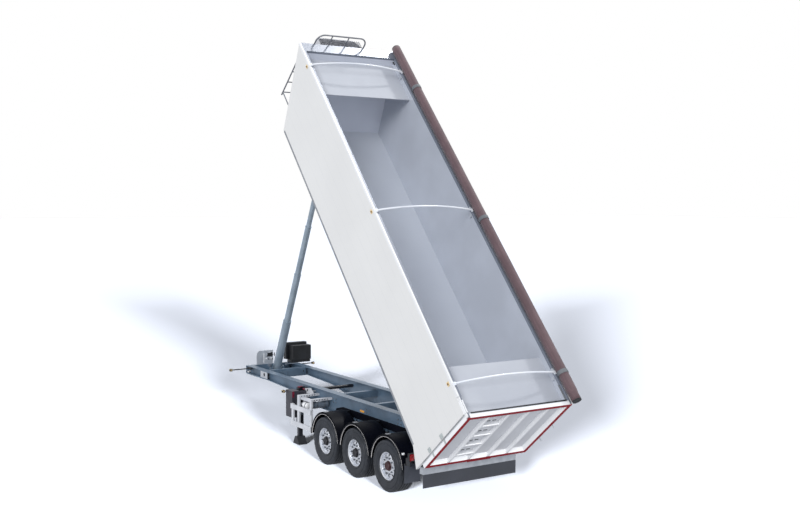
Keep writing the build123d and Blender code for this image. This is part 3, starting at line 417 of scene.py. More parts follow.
def tone_group() -> Group:
    """Slow cloudy change between two colours, from two octaves of soft noise."""
    group = Group(
        "cloudy_tone",
        {
            "Vector": (0.0, 0.0, 0.0), "Scale": 1.0, "Base": (0.5, 0.5, 0.5, 1.0),
            "Shade": (0.4, 0.4, 0.4, 1.0),
        },
        {"Color": "NodeSocketColor", "Mask": "NodeSocketFloat"},
    )
    noise = group.node("ShaderNodeTexNoise")
    noise.inputs["Detail"].default_value = 3.0
    noise.inputs["Roughness"].default_value = 0.55
    ramp = group.node("ShaderNodeMapRange", interpolation_type="SMOOTHSTEP")
    ramp.inputs["From Min"].default_value = 0.32
    ramp.inputs["From Max"].default_value = 0.68
    mix = group.node("ShaderNodeMix", data_type="RGBA")
    group.link(group.source.outputs["Vector"], noise.inputs["Vector"])
    group.link(group.source.outputs["Scale"], noise.inputs["Scale"])
    group.link(noise.outputs["Fac"], ramp.inputs["Value"])
    group.link(ramp.outputs["Result"], mix.inputs["Factor"])
    group.link(group.source.outputs["Base"], mix.inputs["A"])
    group.link(group.source.outputs["Shade"], mix.inputs["B"])
    group.link(mix.outputs["Result"], group.sink.inputs["Color"])
    group.link(ramp.outputs["Result"], group.sink.inputs["Mask"])
    return group


def grain_group() -> Group:
    """Fine surface grain: roughness between two values, and a height for bumps."""
    group = Group(
        "fine_grain",
        {"Vector": (0.0, 0.0, 0.0), "Scale": 90.0, "Low": 0.3, "High": 0.4},
        {"Roughness": "NodeSocketFloat", "Height": "NodeSocketFloat"},
    )
    noise = group.node("ShaderNodeTexNoise")
    noise.inputs["Detail"].default_value = 4.0
    noise.inputs["Roughness"].default_value = 0.62
    ramp = group.node("ShaderNodeMapRange")
    group.link(group.source.outputs["Vector"], noise.inputs["Vector"])
    group.link(group.source.outputs["Scale"], noise.inputs["Scale"])
    group.link(noise.outputs["Fac"], ramp.inputs["Value"])
    group.link(group.source.outputs["Low"], ramp.inputs["To Min"])
    group.link(group.source.outputs["High"], ramp.inputs["To Max"])
    group.link(ramp.outputs["Result"], group.sink.inputs["Roughness"])
    group.link(noise.outputs["Fac"], group.sink.inputs["Height"])
    return group


def seam_group() -> Group:
    """Narrow seams at an even pitch along one coordinate of the vector (its Z)."""
    group = Group(
        "even_seams",
        {"Vector": (0.0, 0.0, 0.0), "Pitch": 0.3, "Width": 0.004, "Start": 0.0},
        {"Mask": "NodeSocketFloat"},
    )
    split = group.node("ShaderNodeSeparateXYZ")
    group.link(group.source.outputs["Vector"], split.inputs[0])
    start = maths(group, "SUBTRACT", split.outputs["Z"], group.source.outputs["Start"])
    near = maths(group, "PINGPONG", start, maths(group, "DIVIDE", group.source.outputs["Pitch"], 2.0))
    ramp = group.node("ShaderNodeMapRange", interpolation_type="SMOOTHSTEP")
    group.link(near, ramp.inputs["Value"])
    group.link(group.source.outputs["Width"], ramp.inputs["From Max"])
    ramp.inputs["To Min"].default_value = 1.0
    ramp.inputs["To Max"].default_value = 0.0
    group.link(ramp.outputs["Result"], group.sink.inputs["Mask"])
    return group


def film_group() -> Group:
    """Thin road film that thickens towards the road, broken up by noise."""
    group = Group(
        "road_film",
        {"Vector": (0.0, 0.0, 0.0), "Top": 0.9, "Amount": 0.2},
        {"Mask": "NodeSocketFloat"},
    )
    split = group.node("ShaderNodeSeparateXYZ")
    group.link(group.source.outputs["Vector"], split.inputs[0])
    low = group.node("ShaderNodeMapRange", interpolation_type="SMOOTHSTEP")
    group.link(split.outputs["Z"], low.inputs["Value"])
    group.link(group.source.outputs["Top"], low.inputs["From Max"])
    low.inputs["To Min"].default_value = 1.0
    low.inputs["To Max"].default_value = 0.0
    noise = group.node("ShaderNodeTexNoise")
    noise.inputs["Scale"].default_value = 7.0
    noise.inputs["Detail"].default_value = 5.0
    group.link(group.source.outputs["Vector"], noise.inputs["Vector"])
    both = maths(group, "MULTIPLY", low.outputs["Result"], noise.outputs["Fac"])
    group.link(maths(group, "MULTIPLY", both, group.source.outputs["Amount"]), group.sink.inputs["Mask"])
    return group


def slab_mask_group() -> Group:
    """Mask of a slab of space: the part along a direction is within a limit of an offset."""
    group = Group(
        "slab_mask",
        {"Vector": (0.0, 0.0, 0.0), "Direction": (0.0, 1.0, 0.0), "Offset": 0.0, "Limit": 1.2},
        {"Mask": "NodeSocketFloat"},
    )
    along = group.node("ShaderNodeVectorMath", operation="DOT_PRODUCT")
    group.link(group.source.outputs["Vector"], along.inputs[0])
    group.link(group.source.outputs["Direction"], along.inputs[1])
    away = maths(group, "SUBTRACT", along.outputs["Value"], group.source.outputs["Offset"])
    inside = maths(group, "LESS_THAN", maths(group, "ABSOLUTE", away, 0.0), group.source.outputs["Limit"])
    group.link(inside, group.sink.inputs["Mask"])
    return group


class Library:
    """The shader groups and the materials made so far."""

    groups: dict[str, Group] = {}
    materials: dict[str, bpy.types.Material] = {}

    @classmethod
    def group(cls, maker: Callable[[], Group]) -> Group:
        """Give the group that a maker builds, building it once."""
        if maker.__name__ not in cls.groups:
            cls.groups[maker.__name__] = maker()
        return cls.groups[maker.__name__]


# ---------------------------------------------------------------- finishes
COAT_ROUGHNESS = 0.08
BUMP_DISTANCE = 0.01
FILM_TOP = 1.1
FILM_COLOUR = (120, 116, 110)
SLAB_SECOND_TONE = 0.95
SLAB_TONE_SCALE = 0.7


@dataclass(frozen=True)
class Finish:
    """One surface finish and how its material is put together.

    Args:
        name: Material name.
        base: Main colour, display values 0 to 255.
        shade: Second colour of the slow tone change.
        rough: Lowest and highest roughness.
        metal: Metallic share.
        coat: Clear coat weight.
        sheen: Cloth sheen weight.
        tone_scale: Scale of the slow tone change.
        grain_scale: Scale of the fine grain.
        stretch: How much the grain is stretched along each axis.
        bump: Strength of the grain's bumps.
        tilt: Turn of the pattern about Y, in degrees, to follow the bed.
        pattern: Named pattern over the colour.
        pitch: Spacing of the pattern.
        line: Width of the pattern's lines.
        line_colour: Colour in the pattern's lines.
        line_depth: How deep the pattern's lines look.
        film: Amount of road film near the road.
        specular: Specular level.
        lining_and_shade: Colour of a slab of space, for bare inner faces, and for painted shade on the gate's
            sheet and the rail caps' inner edge.
        slab_along: Direction square to that slab.
        slab_at: Place of the slab's middle along the direction.
        slab_half: Half of the slab's thickness.
        slab_metal: Metalness inside the slab.
    """

    name: str
    base: Triple
    shade: Triple
    rough: tuple[float, float] = (0.3, 0.42)
    metal: float = 0.0
    coat: float = 0.0
    sheen: float = 0.0
    tone_scale: float = 1.2
    grain_scale: float = 90.0
    stretch: Triple = (1.0, 1.0, 1.0)
    bump: float = 0.04
    tilt: float = 0.0
    pattern: Pattern = Pattern.PLAIN
    pitch: float = 0.3
    line: float = 0.004
    line_colour: Triple = (190, 192, 196)
    line_depth: float = 0.2
    film: float = 0.0
    specular: float = 0.5
    lining_and_shade: Triple | None = None
    slab_along: Triple = (0.0, 1.0, 0.0)
    slab_at: float = 0.0
    slab_half: float = 1.2005
    slab_metal: float = 0.15

    def material(self) -> bpy.types.Material:
        """Give this finish's material, building it once."""
        if self.name not in Library.materials:
            Library.materials[self.name] = self._build()
        return Library.materials[self.name]

    def _build(self) -> bpy.types.Material:
        """Build the material's nodes.

        Returns:
            A material with tone, grain, pattern and film laid over each other.
        """
        made = bpy.data.materials.new(self.name)
        made.use_nodes = True
        made.diffuse_color = srgb(*self.base)
        tree = made.node_tree
        shader = tree.nodes["Principled BSDF"]
        shader.inputs["Metallic"].default_value = self.metal
        shader.inputs["Coat Weight"].default_value = self.coat
        shader.inputs["Coat Roughness"].default_value = COAT_ROUGHNESS
        shader.inputs["Sheen Weight"].default_value = self.sheen
        shader.inputs["Specular IOR Level"].default_value = self.specular
        place = tree.nodes.new("ShaderNodeTexCoord")
        turn = tree.nodes.new("ShaderNodeMapping")
        turn.inputs["Rotation"].default_value = (0.0, math.radians(self.tilt), 0.0)
        tree.links.new(place.outputs["Object"], turn.inputs["Vector"])
        stretch = tree.nodes.new("ShaderNodeMapping")
        stretch.inputs["Scale"].default_value = self.stretch
        tree.links.new(turn.outputs["Vector"], stretch.inputs["Vector"])
        tone = self._use(
            tree, tone_group, Scale=self.tone_scale, Base=srgb(*self.base), Shade=srgb(*self.shade)
        )
        grain = self._use(tree, grain_group, Scale=self.grain_scale, Low=self.rough[0], High=self.rough[1])
        tree.links.new(turn.outputs["Vector"], tone.inputs["Vector"])
        tree.links.new(stretch.outputs["Vector"], grain.inputs["Vector"])
        colour, height = tone.outputs["Color"], grain.outputs["Height"]
        if self.pattern is not Pattern.PLAIN:
            colour, height = self._lay_pattern(tree, turn.outputs["Vector"], colour, height)
        if self.lining_and_shade:
            colour = self._paint_slab(tree, shader, place.outputs["Object"], colour)
        if self.film:
            film = self._use(tree, film_group, Top=FILM_TOP, Amount=self.film)
            tree.links.new(place.outputs["Object"], film.inputs["Vector"])
            colour = self._blend(tree, film.outputs["Mask"], colour, srgb(*FILM_COLOUR))
        bump = tree.nodes.new("ShaderNodeBump")
        bump.inputs["Strength"].default_value = self.bump
        bump.inputs["Distance"].default_value = BUMP_DISTANCE
        tree.links.new(height, bump.inputs["Height"])
        tree.links.new(colour, shader.inputs["Base Color"])
        tree.links.new(grain.outputs["Roughness"], shader.inputs["Roughness"])
        tree.links.new(bump.outputs["Normal"], shader.inputs["Normal"])
        return made

    def _lay_pattern(
        self, tree: bpy.types.NodeTree, vector: object, colour: object, height: object
    ) -> tuple[object, object]:
        """Lay seams, ribs or a weave over the colour and the height.

        Args:
            tree: The material's nodes.
            vector: Turned coordinates.
            colour: Colour so far.
            height: Height so far.

        Returns:
            The new colour and height sockets.
        """
        masks = []
        turns = [(0.0, 0.0, 0.0)]
        if self.pattern is Pattern.RIBS:
            turns = [(0.0, math.pi / 2, 0.0)]
        if self.pattern is Pattern.WEAVE:
            turns = [(math.pi / 4, 0.0, 0.0), (-math.pi / 4, 0.0, 0.0)]
        for angle in turns:
            mapping = tree.nodes.new("ShaderNodeMapping")
            mapping.inputs["Rotation"].default_value = angle
            tree.links.new(vector, mapping.inputs["Vector"])
            seams = self._use(tree, seam_group, Pitch=self.pitch, Width=self.line)
            tree.links.new(mapping.outputs["Vector"], seams.inputs["Vector"])
            masks.append(seams.outputs["Mask"])
        mask = masks[0]
        if len(masks) > 1:
            both = tree.nodes.new("ShaderNodeMath")
            both.operation = "MAXIMUM"
            tree.links.new(masks[0], both.inputs[0])
            tree.links.new(masks[1], both.inputs[1])
            mask = both.outputs[0]
        colour = self._blend(tree, mask, colour, srgb(*self.line_colour))
        deep = tree.nodes.new("ShaderNodeMath")
        deep.operation = "MULTIPLY_ADD"
        deep.inputs[1].default_value = -self.line_depth * 10
        tree.links.new(mask, deep.inputs[0])
        tree.links.new(height, deep.inputs[2])
        return colour, deep.outputs[0]

    def _paint_slab(self, tree: bpy.types.NodeTree, shader: object, vector: object, colour: object) -> object:
        """Give one slab of space, such as the inner faces, its own colour.

        Args:
            tree: The material's nodes.
            shader: The material's shader.
            vector: Object coordinates.
            colour: Colour so far.

        Returns:
            The new colour socket.
        """
        # The slab's colour is bare metal on inner faces, and painted shade on some finishes.
        mask = self._use(
            tree, slab_mask_group, Direction=self.slab_along, Offset=self.slab_at, Limit=self.slab_half
        )
        tree.links.new(vector, mask.inputs["Vector"])
        shade = tuple(part * SLAB_SECOND_TONE for part in self.lining_and_shade)
        tone = self._use(
            tree, tone_group, Scale=SLAB_TONE_SCALE, Base=srgb(*self.lining_and_shade), Shade=srgb(*shade)
        )
        tree.links.new(vector, tone.inputs["Vector"])
        mix = tree.nodes.new("ShaderNodeMix")
        mix.data_type = "RGBA"
        tree.links.new(mask.outputs["Mask"], mix.inputs["Factor"])
        tree.links.new(colour, mix.inputs["A"])
        tree.links.new(tone.outputs["Color"], mix.inputs["B"])
        metal = tree.nodes.new("ShaderNodeMath")
        metal.operation = "MULTIPLY"
        metal.inputs[1].default_value = self.slab_metal
        tree.links.new(mask.outputs["Mask"], metal.inputs[0])
        tree.links.new(metal.outputs[0], shader.inputs["Metallic"])
        return mix.outputs["Result"]

    @staticmethod
    def _use(tree: bpy.types.NodeTree, maker: Callable[[], Group], **values: object) -> bpy.types.Node:
        """Place a shared group with its own values."""
        node = tree.nodes.new("ShaderNodeGroup")
        node.node_tree = Library.group(maker).tree
        for label, value in values.items():
            node.inputs[label].default_value = value
        return node

    @staticmethod
    def _blend(tree: bpy.types.NodeTree, mask: object, colour: object, other: tuple) -> object:
        """Mix a fixed colour over another where the mask is set."""
        mix = tree.nodes.new("ShaderNodeMix")
        mix.data_type = "RGBA"
        tree.links.new(mask, mix.inputs["Factor"])
        tree.links.new(colour, mix.inputs["A"])
        mix.inputs["B"].default_value = other
        return mix.outputs["Result"]


BED_TILT = 48.84
TILT_COS, TILT_SIN = math.cos(math.radians(BED_TILT)), math.sin(math.radians(BED_TILT))
SIDE_PAINT = Finish(
    "side_paint", (222, 222, 221), (218, 218, 217), rough=(0.34, 0.44), tone_scale=0.5, tilt=BED_TILT,
    pattern=Pattern.PLANKS, pitch=0.3, line=0.004, line_colour=(206, 207, 208), line_depth=0.03, bump=0.02,
    lining_and_shade=(190, 195, 205),
)
RAIL_WHITE = Finish("rail_white", (246, 247, 248), (240, 241, 243), rough=(0.22, 0.3), coat=0.4, bump=0.02)
# Rail caps: white, with the inner edge a grey darker than the bare metal in the bed. This is painted shade,
# so the lit top looks as shaded as the interior.
CAP_WHITE = Finish(
    "cap_white", (236, 237, 238), (230, 231, 232), rough=(0.22, 0.3), coat=0.3, bump=0.02,
    lining_and_shade=(128, 134, 146), slab_half=1.236, slab_metal=0.2,
)
# Gate: white, with its sheet painted a darker grey in a thin slab. This is painted shade for the sheet, which
# faces down and back.
GATE_WHITE = Finish(
    "gate_white", (242, 243, 245), (238, 239, 241), rough=(0.25, 0.36), coat=0.3, tone_scale=2.0, bump=0.02,
    lining_and_shade=(216, 218, 223), slab_along=(TILT_COS, 0.0, TILT_SIN), slab_at=-1.9415, slab_half=0.0105,
    slab_metal=0.0,
)
HOOP_WHITE = Finish("hoop_white", (240, 243, 248), (226, 231, 239), rough=(0.2, 0.3), coat=0.3, bump=0.02)
INNER_METAL = Finish(
    "inner_metal", (192, 197, 206), (182, 187, 197), rough=(0.34, 0.5), metal=0.15, tone_scale=0.35,
    grain_scale=14.0, stretch=(0.25, 6.0, 6.0), tilt=BED_TILT, bump=0.02,
)
FRONT_METAL = Finish(
    "front_metal", (196, 201, 212), (186, 191, 203), rough=(0.34, 0.5), metal=0.15, tone_scale=0.5,
    grain_scale=14.0, stretch=(6.0, 6.0, 0.25), tilt=BED_TILT, bump=0.02,
)
SHELF_METAL = Finish(
    "shelf_metal", (186, 190, 198), (178, 182, 191), rough=(0.5, 0.6), tone_scale=0.8,
    grain_scale=20.0, stretch=(4.0, 0.4, 4.0), tilt=BED_TILT, bump=0.02, specular=0.25,
)
UNDER_METAL = Finish(
    "under_metal", (140, 146, 157), (122, 128, 140), rough=(0.35, 0.5), metal=0.4, tone_scale=1.5,
    grain_scale=30.0, tilt=BED_TILT, film=0.1,
)
WALK_GREY = Finish(
    "walk_grey", (132, 134, 140), (112, 114, 121), rough=(0.35, 0.5), metal=0.3, tone_scale=5.0, bump=0.05
)
LOCK_GREY = Finish(
    "lock_grey", (190, 197, 196), (170, 178, 178), rough=(0.3, 0.4), metal=0.2, tone_scale=20.0,
)
BARE_METAL = Finish(
    "bare_metal", (200, 204, 210), (182, 187, 194), rough=(0.3, 0.45), metal=0.45, tone_scale=5.0,
    grain_scale=60.0, stretch=(1.0, 1.0, 5.0), bump=0.05,
)
GUARD_METAL = Finish(
    "guard_metal", (222, 224, 229), (206, 209, 215), rough=(0.3, 0.42), metal=0.2, tone_scale=4.0,
    grain_scale=50.0, stretch=(0.3, 4.0, 4.0), bump=0.03,
)
POLISHED = Finish(
    "polished_rim", (232, 234, 239), (206, 210, 218), rough=(0.2, 0.34), metal=0.55, tone_scale=9.0,
    grain_scale=120.0, bump=0.03, film=0.03,
)
CHASSIS_PAINT = Finish(
    "chassis_paint", (92, 112, 132), (76, 94, 112), rough=(0.3, 0.44), coat=0.15, tone_scale=2.2, bump=0.04,
    film=0.04,
)
RAM_PAINT = Finish(
    "ram_paint", (158, 172, 184), (142, 156, 168), rough=(0.25, 0.36), metal=0.3, coat=0.2, tone_scale=3.0,
    grain_scale=50.0, stretch=(1.0, 1.0, 0.2),
)
WING_BLACK = Finish(
    "wing_black", (7, 9, 20), (4, 6, 14), rough=(0.42, 0.54), tone_scale=2.5, bump=0.02, specular=0.1
)
LEG_BLACK = Finish(
    "leg_black", (26, 29, 38), (19, 22, 29), rough=(0.3, 0.45), coat=0.1, tone_scale=4.0, film=0.06,
)
AXLE_BLACK = Finish(
    "axle_black", (30, 33, 41), (20, 22, 28), rough=(0.35, 0.5), coat=0.1, tone_scale=4.0, film=0.1,
)
TYRE_RUBBER = Finish(
    "tyre_rubber", (42, 46, 54), (31, 35, 42), rough=(0.42, 0.55), tone_scale=6.0, grain_scale=160.0,
    bump=0.1,
    film=0.1, specular=0.4,
)
FLAP_RUBBER = Finish("flap_rubber", (80, 84, 94), (70, 74, 83), rough=(0.5, 0.65), tone_scale=3.0, bump=0.08)
PLATE_DARK = Finish("plate_dark", (66, 69, 77), (60, 63, 70), rough=(0.3, 0.42), coat=0.2, tone_scale=1.5)
BOX_BLACK = Finish("box_black", (28, 31, 36), (20, 22, 26), rough=(0.4, 0.55), tone_scale=5.0, bump=0.1)
LOCKER_GREY = Finish("locker_grey", (64, 64, 72), (50, 50, 58), rough=(0.3, 0.45), tone_scale=4.0, film=0.06)
SLATE_GREY = Finish(
    "slate_grey", (112, 122, 135), (96, 106, 119), rough=(0.3, 0.42), coat=0.2, tone_scale=6.0,
)
ROLL_CLOTH = Finish(
    "roll_cloth", (112, 88, 92), (94, 72, 77), rough=(0.6, 0.75), sheen=0.2, tone_scale=3.0, tilt=BED_TILT,
    pattern=Pattern.WEAVE, pitch=0.006, line=0.0014, line_colour=(84, 66, 70), line_depth=0.1, bump=0.1,
)
BAND_GREY = Finish("band_grey", (112, 116, 120), (98, 101, 106), rough=(0.5, 0.6), tone_scale=4.0)
SEAL_BLACK = Finish("seal_black", (26, 29, 34), (18, 20, 25), rough=(0.5, 0.6), tone_scale=4.0, bump=0.08)
TAPE_RED = Finish(
    "tape_red", (158, 6, 28), (144, 4, 22), rough=(0.4, 0.5), specular=0.12, tone_scale=8.0,
    grain_scale=300.0,
    pattern=Pattern.RIBS, pitch=0.05, line=0.0015, line_colour=(120, 8, 22), line_depth=0.05, tilt=BED_TILT,
)
LENS_RED = Finish("lens_red", (172, 20, 34), (130, 8, 18), rough=(0.08, 0.14), coat=0.8, tone_scale=30.0)
LENS_AMBER = Finish(
    "lens_amber", (240, 184, 96), (226, 156, 62), rough=(0.08, 0.14), coat=0.8, tone_scale=30.0,
)
LENS_PALE = Finish(
    "lens_pale", (246, 224, 176), (238, 208, 150), rough=(0.08, 0.14), coat=0.8, tone_scale=30.0,
)
LENS_CLEAR = Finish(
    "lens_clear", (240, 241, 243), (222, 224, 228), rough=(0.06, 0.12), coat=0.8, tone_scale=30.0,
)
STEEL = Finish(
    "turned_steel", (150, 154, 160), (120, 124, 131), rough=(0.28, 0.42), metal=0.8, tone_scale=12.0,
    grain_scale=200.0, bump=0.05, film=0.08,
)
HUB_DARK = Finish("hub_dark", (34, 32, 38), (22, 21, 26), rough=(0.3, 0.45), metal=0.2, tone_scale=20.0)
HUB_BROWN = Finish("hub_brown", (70, 38, 42), (48, 26, 30), rough=(0.3, 0.45), metal=0.2, tone_scale=20.0)
TRIM_TAN = Finish("trim_tan", (236, 233, 232), (222, 218, 216), rough=(0.3, 0.4), tone_scale=6.0)
EDGE_GREY = Finish("edge_grey", (150, 153, 158), (132, 135, 141), rough=(0.35, 0.5), tone_scale=6.0)
CLIP_BROWN = Finish("clip_brown", (120, 86, 52), (96, 66, 38), rough=(0.3, 0.4), tone_scale=30.0)
COUPLING_RED = Finish(
    "coupling_red", (132, 36, 58), (96, 22, 42), rough=(0.25, 0.4), coat=0.2, tone_scale=16.0,
)

CAD_FINISHES: dict[str, Finish] = {
    "chassis_rails": CHASSIS_PAINT, "cross_members": CHASSIS_PAINT, "skid_plate": CHASSIS_PAINT,
    "kingpin": STEEL, "landing_legs": LEG_BLACK, "landing_feet": LEG_BLACK, "axle_beams": AXLE_BLACK,
    "suspension_arms": AXLE_BLACK, "suspension_hangers": CHASSIS_PAINT, "air_springs": TYRE_RUBBER,
    "fenders": WING_BLACK, "fender_stays": AXLE_BLACK, "side_guards": GUARD_METAL,
    "extinguisher_box": LOCKER_GREY, "rear_bumper": BARE_METAL, "bumper_plate": PLATE_DARK,
    "mudflaps": FLAP_RUBBER, "rear_lamps": BOX_BLACK, "valve_panels": BARE_METAL, "equipment_box": BOX_BLACK,
    "stalk_lamps": SEAL_BLACK, "ram_cradle": CHASSIS_PAINT, "hinge_shaft": STEEL, "bed_side_left": SIDE_PAINT,
    "bed_side_right": SIDE_PAINT, "bed_floor": INNER_METAL, "bed_front": FRONT_METAL,
    "bed_shelves": SHELF_METAL, "bed_runners": UNDER_METAL, "bed_bearers": UNDER_METAL,
    "hinge_plates": UNDER_METAL, "top_rails": CAP_WHITE, "tarp_hoops": HOOP_WHITE, "tarp_roll": ROLL_CLOTH,
    "catwalk": WALK_GREY, "front_ladder": WALK_GREY, "ram_ears": BARE_METAL, "tailgate": GATE_WHITE,
    "ram_barrel": RAM_PAINT, **{f"ram_stage_{i}": RAM_PAINT for i in range(1, 6)},
    **{f"tyre_{side}_{place}": TYRE_RUBBER for side, place in WHEELS},
    **{f"rim_{side}_{place}": POLISHED for side, place in WHEELS},
}


# ---------------------------------------------------------------- putting pieces in
def put(
    name: str, shell: Shell, finish: Finish, body: str,
    stands_for: Sequence[str] = (), sharp: float = 32.0,
) -> bpy.types.Object:
    """Make a piece from a shell and let it ride.

    Args:
        name: Piece name.
        shell: Its surface, in the part's frame.
        finish: Its finish.
        body: The body that it rides on.
        stands_for: CAD nodes that it replaces.
        sharp: Angle in degrees past which an edge stays sharp.

    Returns:
        The new object, at the origin.
    """
    mesh = bpy.data.meshes.new(name)
    faces = shell.quads.tolist() + [cap.tolist() for cap in shell.caps]
    mesh.from_pydata(shell.points.tolist(), [], faces)
    mesh.shade_smooth()
    mesh.set_sharp_from_angle(angle=math.radians(sharp))
    mesh.materials.append(finish.material())
    made = bpy.data.objects.new(name, mesh)
    bpy.context.scene.collection.objects.link(made)
    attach(made, body)
    if stands_for:
        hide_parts(*stands_for)
    LOG.info("%s: %d faces on %s", name, len(faces), body)
    return made


def to_bed(points: Array) -> Array:
    """Turn bed coordinates up into the part's frame.

    x = hinge x + du cos t - dw sin t and z = hinge z + du sin t + dw cos t, where du and dw are
    counted from the hinge in the bed's own frame and t is the tipping angle.
    """
    tip = next(j for j in frame["joints"] if j["name"] == "bed_tip")
    angle = math.radians(tip["range_deg"][1])
    du, dw = points[:, 0] - 0.681, points[:, 2] + 0.155
    x = tip["pos_m"][0] + du * math.cos(angle) - dw * math.sin(angle)
    z = tip["pos_m"][2] + du * math.sin(angle) + dw * math.cos(angle)
    return np.column_stack([x, points[:, 1], z])


def from_axle(points: Array) -> Array:
    """Move points whose X is counted from the rear axle into the part's frame."""
    return points + np.array([REAR_AXLE_X, 0.0, 0.0])


